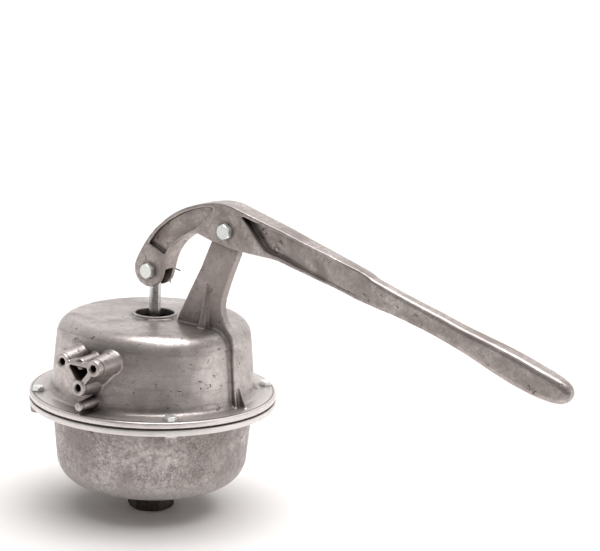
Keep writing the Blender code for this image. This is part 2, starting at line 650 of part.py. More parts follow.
def flange_bolts(mat):
    seat = RUBBER_T / 2 + GAP + FLANGE_T + GAP
    for number, angle in enumerate(BOLT_ANGLES, 1):
        x, y = on_circle(BOLT_CIRCLE_R, angle)
        length = seat + 16
        bolt = upright_bolt(f"flange_bolt_{number}", x, y, seat, BOLT_R, length, BOLT_HEAD_AF, BOLT_HEAD_T)
        finish(bolt, mat)


# ---- the pump -----------------------------------------------------------------------------------
def main():
    clear_scene()
    drum_alloy = material("drum_alloy", (0.52, 0.49, 0.48), 0.9, 0.38)
    bowl_alloy = material("bowl_alloy", (0.47, 0.45, 0.44), 0.85, 0.48)
    lever_alloy = material("lever_alloy", (0.42, 0.38, 0.37), 0.9, 0.42)
    zinc = material("zinc_plate", (0.82, 0.84, 0.82), 0.9, 0.3)
    steel = material("bright_steel", (0.62, 0.62, 0.62), 1.0, 0.25)
    iron = material("dark_iron", (0.05, 0.035, 0.03), 0.6, 0.55)
    brass = material("brass", (0.72, 0.55, 0.25), 1.0, 0.35)
    bronze = material("bronze", (0.55, 0.38, 0.2), 1.0, 0.4)
    rubber = material("black_rubber", (0.025, 0.025, 0.025), 0.0, 0.7)
    fibre = material("fibre", (0.3, 0.12, 0.08), 0.0, 0.8)

    upper_housing(drum_alloy)
    lower_bowl(bowl_alloy)
    inlet_fitting(iron)
    gasket_top = BOWL_BOTTOM_Z - GAP
    ring("inlet_gasket", INLET_NECK_R + GAP, 27.0, gasket_top - GASKET_T, gasket_top, fibre)
    screw_seat = suction_valve(brass, rubber)
    bracket_screws(screw_seat, brass)
    diaphragm(rubber)
    upper_seat, lower_seat = diaphragm_plates(bowl_alloy, steel, rubber)
    piston_rod(steel)
    rod_hardware(upper_seat, lower_seat, zinc)
    lever(lever_alloy)
    fulcrum_bush(bronze)
    for name, place in (("pivot", PIVOT), ("clevis", CLEVIS)):
        headed_pin(name + "_pin", place, zinc)
        pin_washer(name + "_washer", place, zinc)
        split_pin(name + "_split_pin", place, steel)
    flange_bolts(zinc)


main()
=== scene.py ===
"""The looks of a hand well pump: cast housing, bowl and lever, plated pins and bolts.

Lengths in the shape functions are millimetres, with heights above the parting plane
between the two flanges; mesh_piece() turns them into metres in the frame.
"""
import json
import math

import bmesh
import bpy
from mathutils import Matrix, Vector


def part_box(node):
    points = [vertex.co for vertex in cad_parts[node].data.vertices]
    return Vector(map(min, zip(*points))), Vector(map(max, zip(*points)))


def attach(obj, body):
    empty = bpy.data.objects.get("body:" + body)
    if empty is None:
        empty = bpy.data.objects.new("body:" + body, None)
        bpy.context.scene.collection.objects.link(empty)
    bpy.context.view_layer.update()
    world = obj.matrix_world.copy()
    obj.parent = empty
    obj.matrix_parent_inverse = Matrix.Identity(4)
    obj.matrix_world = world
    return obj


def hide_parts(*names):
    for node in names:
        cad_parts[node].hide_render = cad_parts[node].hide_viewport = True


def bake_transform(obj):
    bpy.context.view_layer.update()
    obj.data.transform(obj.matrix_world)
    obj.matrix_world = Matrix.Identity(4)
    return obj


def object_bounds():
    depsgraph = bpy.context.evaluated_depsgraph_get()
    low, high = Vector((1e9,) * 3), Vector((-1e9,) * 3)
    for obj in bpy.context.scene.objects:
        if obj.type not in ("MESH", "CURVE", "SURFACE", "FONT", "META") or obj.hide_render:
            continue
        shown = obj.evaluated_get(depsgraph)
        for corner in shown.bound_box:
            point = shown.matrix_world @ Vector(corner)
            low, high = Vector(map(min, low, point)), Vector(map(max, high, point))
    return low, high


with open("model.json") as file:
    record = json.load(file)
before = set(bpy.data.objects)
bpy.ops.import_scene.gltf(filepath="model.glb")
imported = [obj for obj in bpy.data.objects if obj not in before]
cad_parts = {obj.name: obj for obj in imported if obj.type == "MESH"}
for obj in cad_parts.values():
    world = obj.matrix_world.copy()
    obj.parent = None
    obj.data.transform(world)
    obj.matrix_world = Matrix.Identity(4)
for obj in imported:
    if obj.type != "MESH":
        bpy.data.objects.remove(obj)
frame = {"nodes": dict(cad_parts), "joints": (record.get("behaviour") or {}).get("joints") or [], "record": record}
cad_low, cad_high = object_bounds()

MM = 0.001


# ---- places taken from the frame, and given sizes ------------------------------------
def joint_place(name):
    """A hinge's x and z, in millimetres, z above the parting plane."""
    for joint in frame["joints"]:
        if joint["name"] == name:
            return joint["pos_m"][0] / MM, joint["pos_m"][2] / MM - PARTING_Z
    raise ValueError(name)


PARTING_Z = (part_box("upper_housing")[0].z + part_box("lower_bowl")[1].z) / 2 / MM
PIVOT = joint_place("lever_swing")
CLEVIS = joint_place("rod_tilt")
FLANGE_R = 147.4
FLANGE_LOW = 0.72             # faces of the flanges, from the parting plane
FLANGE_HIGH = 8.6
BOLT_CIRCLE_R = 137.4
BOLT_HOLE_R = 4.5
BOLT_ANGLES = (47, 137, 227, 317)
GUSSET_ANGLES = (2.5, 92.5, 182.5, 272.5)
MOUTH_Y = -147.0              # ends of the outlet bosses
OUTLET_BOSSES = ((-17.0, 66.7), (29.0, 66.3), (7.0, 39.8))
LEVER_HALF_W = 13.0


# ---- shape tools ---------------------------------------------------------------------
def mesh_piece(name, bm):
    """Close a bmesh into an object, faces outward, in metres in the frame."""
    bmesh.ops.remove_doubles(bm, verts=bm.verts, dist=1e-4)
    bmesh.ops.recalc_face_normals(bm, faces=bm.faces)
    bmesh.ops.translate(bm, verts=bm.verts, vec=(0, 0, PARTING_Z))
    bmesh.ops.scale(bm, verts=bm.verts, vec=(MM, MM, MM))
    mesh = bpy.data.meshes.new(name)
    bm.to_mesh(mesh)
    bm.free()
    obj = bpy.data.objects.new(name, mesh)
    bpy.context.collection.objects.link(obj)
    return obj


def arc(centre, radius, start, end, steps):
    """Points on a circle from start to end, in degrees."""
    points = []
    for i in range(steps + 1):
        angle = math.radians(start + (end - start) * i / steps)
        points.append((centre[0] + radius * math.cos(angle), centre[1] + radius * math.sin(angle)))
    return points


def turned(name, profile, steps=128):
    """Turn a closed (radius, height) outline round the Z axis."""
    bm = bmesh.new()
    rings = []
    for radius, height in profile:
        if radius < 1e-6:
            rings.append([bm.verts.new((0, 0, height))])
            continue
        ring = []
        for i in range(steps):
            angle = 2 * math.pi * (i + 0.5) / steps
            ring.append(bm.verts.new((radius * math.cos(angle), radius * math.sin(angle), height)))
        rings.append(ring)
    for lower, upper in zip(rings, rings[1:] + rings[:1]):
        if len(lower) == 1 and len(upper) == 1:
            continue
        for i in range(steps):
            j = (i + 1) % steps
            corners = [lower[i % len(lower)], lower[j % len(lower)],
                       upper[j % len(upper)], upper[i % len(upper)]]
            bm.faces.new(list(dict.fromkeys(corners)))
    return mesh_piece(name, bm)


def slab(name, outline, y0, y1, y0_far=None):
    """Extrude an (x, z) outline from y0 to y1; y0_far slopes the first face towards the highest x."""
    bm = bmesh.new()
    x_low = min(x for x, z in outline)
    x_span = max(x for x, z in outline) - x_low
    slope = 0 if y0_far is None else (y0_far - y0) / x_span
    near = [bm.verts.new((x, y0 + slope * (x - x_low), z)) for x, z in outline]
    far = [bm.verts.new((x, y1, z)) for x, z in outline]
    bm.faces.new(near)
    bm.faces.new(list(reversed(far)))
    for i in range(len(outline)):
        j = (i + 1) % len(outline)
        bm.faces.new((near[j], near[i], far[i], far[j]))
    return mesh_piece(name, bm)


def bar(name, start, end, r_start, r_end, steps=48):
    """A round bar or cone between two points; six steps make a hexagon."""
    bm = bmesh.new()
    start = Vector(start)
    run = Vector(end) - start
    bmesh.ops.create_cone(bm, cap_ends=True, segments=steps, radius1=r_start, radius2=r_end, depth=run.length)
    turn = run.to_track_quat("Z", "Y").to_matrix().to_4x4()
    bmesh.ops.transform(bm, matrix=Matrix.Translation(start + run / 2) @ turn, verts=bm.verts)
    return mesh_piece(name, bm)


def hull(name, points):
    """The convex solid through a few points."""
    bm = bmesh.new()
    for point in points:
        bm.verts.new(point)
    made = bmesh.ops.convex_hull(bm, input=bm.verts)
    bmesh.ops.delete(bm, geom=[g for g in made["geom_interior"] if isinstance(g, bmesh.types.BMVert)])
    return mesh_piece(name, bm)


def boss(name, near, far, r_near, r_far, steps=48):
    """A boss whose two ends both face along Y, however it leans; near and far are (x, y, z)."""
    rims = []
    for (x, y, z), radius in ((near, r_near), (far, r_far)):
        rims += [(rx, y, rz) for rx, rz in arc((x, z), radius, 0, 360, steps)[:-1]]
    return hull(name, rims)


def apply_modifiers(obj):
    graph = bpy.context.evaluated_depsgraph_get()
    mesh = bpy.data.meshes.new_from_object(obj.evaluated_get(graph))
    obj.modifiers.clear()
    obj.data = mesh
    return obj


def combine(obj, tool, operation):
    modifier = obj.modifiers.new("join", "BOOLEAN")
    modifier.operation = operation
    modifier.object = tool
    modifier.solver = "EXACT"
    apply_modifiers(obj)
    bpy.data.objects.remove(tool, do_unlink=True)


def weld(obj, *tools):
    for tool in tools:
        combine(obj, tool, "UNION")
    return obj


def carve(obj, *tools):
    for tool in tools:
        combine(obj, tool, "DIFFERENCE")
    return obj


def cast_skin(obj, voxel, soften, triangles):
    """Turn a sharp solid into a casting: an even skin, rounded edges and fillets, thinned where flat."""
    remesh = obj.modifiers.new("skin", "REMESH")
    remesh.mode = "VOXEL"
    remesh.voxel_size = voxel * MM
    smooth = obj.modifiers.new("soften", "SMOOTH")
    smooth.factor = 0.5
    smooth.iterations = soften
    apply_modifiers(obj)
    obj.data.calc_loop_triangles()
    count = len(obj.data.loop_triangles)
    if count > triangles:
        thin = obj.modifiers.new("thin", "DECIMATE")
        thin.ratio = triangles / count
        apply_modifiers(obj)
    obj.data.shade_smooth()
    return obj


def on_circle(radius, angle):
    return radius * math.cos(math.radians(angle)), radius * math.sin(math.radians(angle))


def fit_out(obj, body, mat, *nodes, slot=None):
    """Give a finished piece its material, its body and the CAD nodes it stands for."""
    obj.data.materials.clear()
    obj.data.materials.append(mat)
    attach(obj, body)
    if nodes:
        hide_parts(*nodes)
    return obj


# ---- upper housing -------------------------------------------------------------------
DRUM_FOOT_R = 120.8
DRUM_TOP_R = 115.8
DRUM_TOP_Z = 97.4
DRUM_DOME = 0.8
DRUM_ROUND = 23.0
RIM_TOP_Z = 101.9
WALL = 4.5
HOLE_R = 23.1
RIM_R = 27.3
BOSS_R = 9.3
BRACKET_HALF_T = 5.9
BRACKET_EYE_R = 17.0
BRACKET_WEDGE = ((81.5, 4, 162), (84, 4, 162), (73, 4, 90), (86, 4, 90), (74.5, 15.5, 92), (83, 14.5, 92))
FOOT_FILLET = 7.5
GROOVE_R = FLANGE_R - 3.6     # the fine step inside the upper flange's rim
CORE_DEPTH = 20.0             # cored screw holes in the outlet bosses
CORE_R = 4.2


def drum_blank():
    top = FLANGE_HIGH
    round_centre = (DRUM_TOP_R - DRUM_ROUND, DRUM_TOP_Z - DRUM_ROUND)
    outer = [(0, FLANGE_LOW), (FLANGE_R - 0.8, FLANGE_LOW), (FLANGE_R, FLANGE_LOW + 0.8)]
    outer += [(FLANGE_R, top - 1.6), (FLANGE_R - 1.2, top - 0.6), (GROOVE_R, top - 0.5)]
    outer += [(FLANGE_R - 4.4, top)]
    outer += arc((DRUM_FOOT_R + FOOT_FILLET, top + FOOT_FILLET), FOOT_FILLET, 270, 182, 8)
    outer += arc(round_centre, DRUM_ROUND, 0, 90, 20)
    outer += [(RIM_R + 2.4, DRUM_TOP_Z + DRUM_DOME), (RIM_R + 0.6, DRUM_TOP_Z + 1.3)]
    outer += [(RIM_R, DRUM_TOP_Z + 2.4), (RIM_R, RIM_TOP_Z - 0.4), (RIM_R - 0.4, RIM_TOP_Z), (0, RIM_TOP_Z)]
    return turned("housing_casting", outer)


def bracket_outline():
    """Fulcrum bracket and the rib that carries it down the drum's side, in x and z."""
    front = [(36, 93), (38, 99), (41, 108.5), (46.5, 119), (57, 140), (71, 167), (86, 202)]
    eye = arc(PIVOT, BRACKET_EYE_R, 200, -20, 24)
    back = [(122, 188), (117.5, 177), (113, 166), (108.5, 153), (104.5, 141), (102, 132), (101.6, 124),
            (103, 115)]
    shoulder = [(106, 108), (111, 101), (116.5, 95.5), (120, 89), (121.3, 82)]
    side_rib = [(123.5, 45), (126, 20), (128, 8), (129, 4), (112, 4), (104, 60), (86, 84)]
    return front + eye + back + shoulder + side_rib


def housing():
    body = drum_blank()
    weld(body, slab("bracket", bracket_outline(), -BRACKET_HALF_T, BRACKET_HALF_T))
    for side in (-1, 1):
        wedge = [(x, side * y, z) for x, y, z in BRACKET_WEDGE]
        weld(body, hull("wedge", wedge))
    foot = [(122, y, z) for y in (1.0, 4.0) for z in (40, 4)]
    foot += [(137, y, z) for y in (1.0, 4.0) for z in (8.5, 5)]
    weld(body, hull("foot_gusset", foot))
    outlet_bosses(body)

    round_centre = (DRUM_TOP_R - DRUM_ROUND, DRUM_TOP_Z - DRUM_ROUND)
    cavity = [(0, FLANGE_LOW - 5), (DRUM_FOOT_R - WALL, FLANGE_LOW - 5), (DRUM_FOOT_R - WALL, FLANGE_LOW)]
    cavity += arc(round_centre, DRUM_ROUND - WALL, 0, 90, 12)
    cavity += [(HOLE_R, DRUM_TOP_Z - WALL), (HOLE_R, RIM_TOP_Z + 5), (0, RIM_TOP_Z + 5)]
    carve(body, turned("cavity", cavity))
    duct = [(-8, 65), (20, 65), (21, 61), (11, 49), (4, 49)]
    carve(body, slab("duct", duct, MOUTH_Y - 5, -95))
    weld(body, bar("duct_stud", (7.5, -113, 67.4), (6, MOUTH_Y + 4, 66.8), 8.8, 6.4))
    for x, z in OUTLET_BOSSES:
        carve(body, bar("core", (x, MOUTH_Y - 5, z), (x, MOUTH_Y + CORE_DEPTH, z), CORE_R, CORE_R - 0.2))
        carve(body, bar("core_lead", (x, MOUTH_Y - 1, z), (x, MOUTH_Y + 1.0, z), 6.6, 4.3))
    for angle in BOLT_ANGLES:
        x, y = on_circle(BOLT_CIRCLE_R, angle)
        carve(body, bar("bolt_hole", (x, y, -5), (x, y, 15), BOLT_HOLE_R, BOLT_HOLE_R, 24))
    x, z = PIVOT
    carve(body, bar("eye", (x, -20, z), (x, 20, z), 8.4, 8.4))
    cast_skin(body, 1.05, 3, 190000)
    return body


def outlet_bosses(body):
    """Three screw bosses, joined by thin webs round the outlet duct, and a solid stud below."""
    (lx, lz), (rx, rz), (bx, bz) = OUTLET_BOSSES
    web = [(lx, lz + 2.5), (rx, rz + 3), (rx + 1, rz - 5), (bx + 5, bz), (bx - 4, bz), (lx - 1, lz - 5)]
    weld(body, slab("duct_wall", web, MOUTH_Y + 1, -104))
    root = [(rx + 2, -128, rz - 6), (bx + 7, -128, bz + 3), (rx + 9, -104, rz - 10), (bx + 12, -110, bz - 6)]
    weld(body, hull("web_root", [(x + dx, y, z) for x, y, z in root for dx in (-9, 0)]))
    weld(body, boss("left_boss", (lx, MOUTH_Y, lz), (lx + 1, -102, lz + 3.5), BOSS_R, 12.5))
    weld(body, boss("right_boss", (rx, MOUTH_Y, rz), (rx - 2, -107, rz + 1), BOSS_R, 14.5))
    weld(body, bar("right_knob", (rx - 2, -109, rz + 1), (rx + 1, -98, rz + 1), 14.6, 9.0))
    weld(body, boss("low_boss", (bx, MOUTH_Y, bz), (bx, -111, bz), BOSS_R, 13.0))
    weld(body, boss("solid_stud", (8, MOUTH_Y, 17.5), (9, -112, 18.5), 5.2, 8.4))
    web = [(x, y, z) for x in (6.2, 8.8) for y, z in ((-141, 15), (-146, 7), (-112, 5), (-112, 15))]
    weld(body, hull("foot_web", web))


# ---- lower bowl ----------------------------------------------------------------------
BOWL_TOP_R = 119.5
BOWL_LOW_R = 114.0
BOWL_BOTTOM_Z = -104.5
BOWL_ROUND = 34.0
BOWL_WALL = 4.0
SEAT_PAD_R = 48.0
SEAT_PAD_Z = -94.0
LUG_BOTTOM_Z = -17.0


def bowl():
    flange_top = -FLANGE_LOW
    flange_low = -FLANGE_HIGH
    round_centre = (BOWL_LOW_R - BOWL_ROUND, BOWL_BOTTOM_Z + BOWL_ROUND)
    outer = [(0, flange_top), (FLANGE_R - 0.8, flange_top), (FLANGE_R, flange_top - 0.8)]
    outer += [(FLANGE_R, flange_low + 1.4), (FLANGE_R - 1.4, flange_low), (BOWL_TOP_R + 6, flange_low)]
    outer += arc((BOWL_TOP_R + 5, flange_low - 5), 5, 90, 178, 6)
    outer += arc(round_centre, BOWL_ROUND, 0, -90, 20)
    outer += [(0, BOWL_BOTTOM_Z)]
    body = turned("bowl_casting", outer)
    for angle in BOLT_ANGLES:
        x, y = on_circle(BOLT_CIRCLE_R, angle)
        weld(body, bar("lug", (x, y, flange_low + 3), (x, y, LUG_BOTTOM_Z), 9.4, 8.6))
        web = []
        for radius in (BOLT_CIRCLE_R, 112):
            for side in (-7, 7):
                wx, wy = on_circle(radius, angle)
                nx, ny = on_circle(side, angle + 90)
                web += [(wx + nx, wy + ny, flange_low + 3), (wx + nx, wy + ny, LUG_BOTTOM_Z + 2)]
        weld(body, hull("lug_web", web))
    for angle in GUSSET_ANGLES:
        gusset = []
        for side in (-1.6, 1.6):
            nx, ny = on_circle(side, angle + 90)
            for radius, z in ((142, flange_low + 2), (112, flange_low + 2), (112, -26)):
                gx, gy = on_circle(radius, angle)
                gusset.append((gx + nx, gy + ny, z))
        weld(body, hull("gusset", gusset))

    cavity = [(0, 3), (BOWL_TOP_R - 4.5, 3), (BOWL_TOP_R - 4.5, flange_top)]
    cavity += arc(round_centre, BOWL_ROUND - BOWL_WALL, 0, -90, 12)
    cavity += [(SEAT_PAD_R + 3, BOWL_BOTTOM_Z + BOWL_WALL), (SEAT_PAD_R, SEAT_PAD_Z), (0, SEAT_PAD_Z)]
    carve(body, turned("cavity", cavity))
    carve(body, bar("neck_hole", (0, 0, -120), (0, 0, -85), 22.4, 22.4))
    for angle in BOLT_ANGLES:
        x, y = on_circle(BOLT_CIRCLE_R, angle)
        carve(body, bar("tapped_hole", (x, y, 5), (x, y, -40), BOLT_HOLE_R, BOLT_HOLE_R, 24))
    cast_skin(body, 1.1, 3, 160000)
    return body


# ---- lever ---------------------------------------------------------------------------
# Stations along the lever: outer edge (x, z), inner edge (x, z), half width, corner radius.
LEVER_STATIONS = (
    ((-15, 174), (21, 159), 13.0, 0.8), ((-3, 193), (25.5, 174), 13.0, 0.8),
    ((7, 205), (31.5, 184), 13.0, 0.8), ((17, 214), (38.5, 192.5), 13.0, 0.8),
    ((29, 224), (46.5, 199), 13.0, 0.8), ((44, 233), (55, 205), 13.0, 0.8),
    ((58, 239), (65, 209), 13.0, 0.8), ((73, 244), (74, 207.5), 13.0, 0.8),
    ((88, 247), (90, 203), 13.0, 0.8), ((101, 248.5), (104, 200.5), 13.0, 0.8),
    ((116, 247.5), (118, 198), 13.0, 0.8), ((131, 243.5), (133, 196.5), 13.0, 0.8),
    ((158, 236), (159, 195), 12.6, 0.8), ((186, 228.5), (181, 193.5), 11.8, 0.8),
    ((214, 220), (205, 187.5), 10.8, 0.8), ((241, 212.4), (233, 180.3), 9.8, 0.8),
    ((268, 204.5), (262, 173), 8.8, 0.9), ((290, 198.3), (285, 166.3), 8.2, 1.2),
    ((301, 194.2), (297, 163), 8.2, 2.4), ((309, 190.5), (306, 161), 8.3, 3.6),
    ((320, 187), (316, 158.5), 8.6, 4.4), ((345, 179.2), (338, 154.4), 8.9, 4.8),
    ((371, 171.5), (360, 149), 9.2, 5.0), ((396, 164.5), (385, 142.5), 9.6, 5.2),
    ((422, 156.5), (410, 134.5), 10.0, 5.4), ((447, 150), (436, 125.4), 10.6, 5.6),
    ((472, 143.5), (461, 115.2), 11.0, 5.8), ((496, 136.5), (486, 106.2), 11.4, 6.0),
    ((520, 128.5), (510, 99), 11.4, 6.2), ((533, 124.3), (523, 96.0), 11.0, 6.4),
    ((545, 119.6), (536, 94.0), 10.2, 6.8), ((553, 115), (547, 94.4), 8.6, 7.0),
    ((557.3, 109.5), (554.4, 98.5), 4.6, 4.4))


def lever_section(outer, inner, half_w, corner, corner_steps=5):
    """A rectangle with round corners between the lever's outer and inner edge."""
    outer = Vector((outer[0], 0, outer[1]))
    inner = Vector((inner[0], 0, inner[1]))
    depth = (inner - outer).length
    down = (inner - outer) / depth
    corner = min(corner, depth * 0.49, half_w * 0.97)
    points = []
    corners = ((-half_w + corner, corner, 180), (half_w - corner, corner, 270),
               (half_w - corner, depth - corner, 0), (-half_w + corner, depth - corner, 90))
    for across, along, start in corners:
        for a, b in arc((across, along), corner, start, start + 90, corner_steps):
            point = outer + down * b
            points.append((point.x, a, point.z))
    return points


def between(rows, share):
    """Catmull-Rom through rows of numbers; share runs from 0 to the last row's index."""
    i = min(int(share), len(rows) - 2)
    t = share - i
    r0, r1, r2, r3 = rows[max(i - 1, 0)], rows[i], rows[i + 1], rows[min(i + 2, len(rows) - 1)]
    out = []
    for a, b, c, d in zip(r0, r1, r2, r3):
        out.append(b + 0.5 * t * (c - a + t * (2 * a - 5 * b + 4 * c - d + t * (3 * (b - c) + d - a))))
    return out


def lever_blank():
    """The solid lever: round fork end, arched arm, tapering shank and a fuller grip."""
    nose_r = 20.8
    centre = Vector((-1, 155.5))
    lean = Vector((0.36, 0.933))
    side = Vector((lean.y, -lean.x))
    sections = []
    for angle in range(12, 84, 10):
        back = centre - lean * nose_r * math.cos(math.radians(angle))
        spread = side * nose_r * math.sin(math.radians(angle))
        sections.append(lever_section(back - spread, back + spread, LEVER_HALF_W, 0.8))
    back = centre - lean * nose_r * math.cos(math.radians(88))
    spread = side * nose_r * math.sin(math.radians(88))
    rows = [(back - spread)[:] + (back + spread)[:] + (LEVER_HALF_W, 0.8)]
    rows += [(*outer, *inner, half_w, corner) for outer, inner, half_w, corner in LEVER_STATIONS]
    steps_between = 6
    for i in range((len(rows) - 1) * steps_between + 1):
        ox, oz, ix, iz, half_w, corner = between(rows, i / steps_between)
        sections.append(lever_section((ox, oz), (ix, iz), min(half_w, LEVER_HALF_W), corner))
    bm = bmesh.new()
    rings = [[bm.verts.new(point) for point in section] for section in sections]
    for a, b in zip(rings, rings[1:]):
        for i in range(len(a)):
            j = (i + 1) % len(a)
            bm.faces.new((a[i], a[j], b[j], b[i]))
    bm.faces.new(rings[0])
    bm.faces.new(rings[-1])
    return mesh_piece("lever_casting", bm)


def lever():
    body = lever_blank()
    arm_pocket = [(-1, 187), (2, 191.5), (7, 198.5), (15, 207.5), (29, 218.5), (44, 228), (58, 234.5),
                  (73, 239.5), (86, 242.3), (91, 242), (92, 240), (89, 235), (82, 227.5), (72, 218.5),
                  (66, 213.5), (56, 208), (46, 202), (38, 196), (30, 188), (22.2, 176.7)]
    shank_pocket = [(131.5, 238), (145, 234.8), (158, 231.5), (186, 224.8), (214, 216.8), (241, 209.2),
                    (268, 201.3), (291, 194.5), (296, 181), (294, 168), (262, 176), (233, 183.5), (205, 191),
                    (190, 196), (181, 198), (172, 199.5), (166, 201.5), (158, 209)]
    for side in (-1, 1):
        carve(body, slab("arm_pocket", arm_pocket, side * 7.0, side * 30))
        carve(body, slab("shank_pocket", shank_pocket, side * 3.2, side * 30, y0_far=side * 8.3))
        for x, z in ((181, 212), (177.5, 205)):
            weld(body, bar("ejector_mark", (x, side * 3.5, z), (x, side * 5.6, z), 3.2, 3.2, 24))
    px, pz = PIVOT
    bracket_room = arc(PIVOT, 23.0, 150, 30, 16) + [(px + 38, pz - 8), (px + 38, pz - 60), (px - 34, pz - 60),
                                                   (px - 34, pz - 4)]
    carve(body, slab("bracket_slot", bracket_room, -6.5, 6.5))
    cx, cz = CLEVIS
    rod_room = arc(CLEVIS, 17.0, 165, 10, 16) + [(cx + 40, cz + 6), (cx + 40, cz - 40), (cx - 40, cz - 40),
                                                 (cx - 40, cz)]
    carve(body, slab("rod_slot", rod_room, -7.5, 7.5))
    for x, z in (PIVOT, CLEVIS):
        carve(body, bar("pin_hole", (x, -30, z), (x, 30, z), 6.3, 6.3))
    cast_skin(body, 0.75, 2, 150000)
    return body


# ---- pins, rod and inlet -------------------------------------------------------------
PIN_R = 5.0
HEAD_AF = 17.0
HEAD_T = 6.4
SPLIT_Y = LEVER_HALF_W + 6.0


def pin(name, place):
    """A bolt-like pin: chamfered hex head on the near side, a cross hole near its far end."""
    x, z = place
    near = -LEVER_HALF_W - 0.3
    tip = SPLIT_Y + 5.0
    body = bar(name, (x, near, z), (x, near - HEAD_T, z), HEAD_AF / 2 / math.cos(math.pi / 6),
               HEAD_AF / 2 / math.cos(math.pi / 6), 6)
    wide = HEAD_AF / 2 + 4.2
    crown = bar("crown", (x, near + 0.3, z), (x, near - HEAD_T, z), wide, HEAD_AF / 2 * 0.95, 72)
    combine(body, crown, "INTERSECT")
    weld(body, bar("shank", (x, near - 2, z), (x, tip - 1, z), PIN_R, PIN_R, 40))
    weld(body, bar("tip", (x, tip - 1, z), (x, tip, z), PIN_R, PIN_R - 1, 40))
    carve(body, bar("cross_hole", (x - 12, SPLIT_Y, z), (x + 12, SPLIT_Y, z), 2.0, 2.0, 24))
    body.data.shade_smooth()
    body.data.set_sharp_from_angle(angle=math.radians(22))
    return body


def pin_washer(name, place):
    x, z = place
    near = LEVER_HALF_W + 0.3
    body = bar(name, (x, near, z), (x, near + 2, z), 12, 12, 64)
    carve(body, bar("hole", (x, near - 5, z), (x, near + 6, z), PIN_R + 0.3, PIN_R + 0.3, 40))
    bevel = body.modifiers.new("edge", "BEVEL")
    bevel.width = 0.35 * MM
    bevel.segments = 2
    bevel.limit_method = "ANGLE"
    apply_modifiers(body)
    body.data.shade_smooth()
    body.data.set_sharp_from_angle(angle=math.radians(40))
    return body


def split_pin(name, place):
    """A bent wire: one leg stays nearly straight, the other turns down on the pin's far side."""
    x, z = place
    leg = 0.95
    path = [(22.5, -1.6), (15, -0.4), (11, 0.2), (7, leg), (-6, leg)]
    path += arc((-9.0, 0), 2.8, 55, 305, 8)
    path += [(-6, -leg), (4.4, -leg), (5.8, -leg), (6.7, -leg - 1.4), (6.9, -leg - 3.4)]
    path += [(6.9, -9), (7.0, -13.5), (7.6, -18.5)]
    curve = bpy.data.curves.new(name, "CURVE")
    curve.dimensions = "3D"
    curve.bevel_depth = 0.75 * MM
    curve.bevel_resolution = 3
    curve.use_fill_caps = True
    spline = curve.splines.new("POLY")
    spline.points.add(len(path) - 1)
    for point, (dx, dz) in zip(spline.points, path):
        point.co = ((x + dx) * MM, SPLIT_Y * MM, (z + dz + PARTING_Z) * MM, 1)
    wire = bpy.data.objects.new("wire", curve)
    bpy.context.collection.objects.link(wire)
    graph = bpy.context.evaluated_depsgraph_get()
    obj = bpy.data.objects.new(name, bpy.data.meshes.new_from_object(wire.evaluated_get(graph)))
    bpy.context.collection.objects.link(obj)
    bpy.data.objects.remove(wire, do_unlink=True)
    close_seams(obj)
    obj.data.shade_smooth()
    obj.data.set_sharp_from_angle(angle=math.radians(50))
    return obj


def close_seams(obj):
    bm = bmesh.new()
    bm.from_mesh(obj.data)
    bmesh.ops.remove_doubles(bm, verts=bm.verts, dist=1e-7)
    bmesh.ops.recalc_face_normals(bm, faces=bm.faces)
    bm.to_mesh(obj.data)
    bm.free()


ROD_R = 7.0
ROD_FOOT_Z = -42.0
ROD_EYE_R = 12.5
ROD_EYE_Y = (-7.2, 2.5)       # the flattened eye stands against the near cheek


def piston_rod():
    x, z = CLEVIS
    foot = ROD_FOOT_Z
    near, far = ROD_EYE_Y
    body = bar("drawn_rod", (x, 0, foot + 1), (x, 0, z - 4), ROD_R, ROD_R, 64)
    weld(body, bar("tail", (x, 0, foot), (x, 0, foot + 1), ROD_R - 1, ROD_R, 64))
    weld(body, bar("eye", (x, near, z), (x, far, z), ROD_EYE_R, ROD_EYE_R, 64))
    carve(body, bar("pin_hole", (x, -20, z), (x, 20, z), PIN_R + 0.3, PIN_R + 0.3, 48))
    body.data.shade_smooth()
    body.data.set_sharp_from_angle(angle=math.radians(30))
    return body


INLET_AF = 48.8
INLET_BORE_R = 19.5
THREAD_PITCH = 2.309
THREAD_DEPTH = 1.4


def thread_tool(name, z0, z1, around=96, per_turn=6):
    """The solid that cuts the pipe thread: a cylinder whose radius climbs along a helix."""
    bm = bmesh.new()
    rows = int((z1 - z0) / THREAD_PITCH * per_turn)
    rings = []
    for row in range(rows + 1):
        z = z0 + (z1 - z0) * row / rows
        ring = []
        for i in range(around):
            turn = i / around
            phase = ((z - z0) / THREAD_PITCH - turn) % 1.0
            radius = INLET_BORE_R + THREAD_DEPTH * (1 - abs(2 * phase - 1))
            angle = math.tau * turn
            ring.append(bm.verts.new((radius * math.cos(angle), radius * math.sin(angle), z)))
        rings.append(ring)
    for a, b in zip(rings, rings[1:]):
        for i in range(around):
            j = (i + 1) % around
            bm.faces.new((a[i], a[j], b[j], b[i]))
    bm.faces.new(list(reversed(rings[0])))
    bm.faces.new(rings[-1])
    return mesh_piece(name, bm)


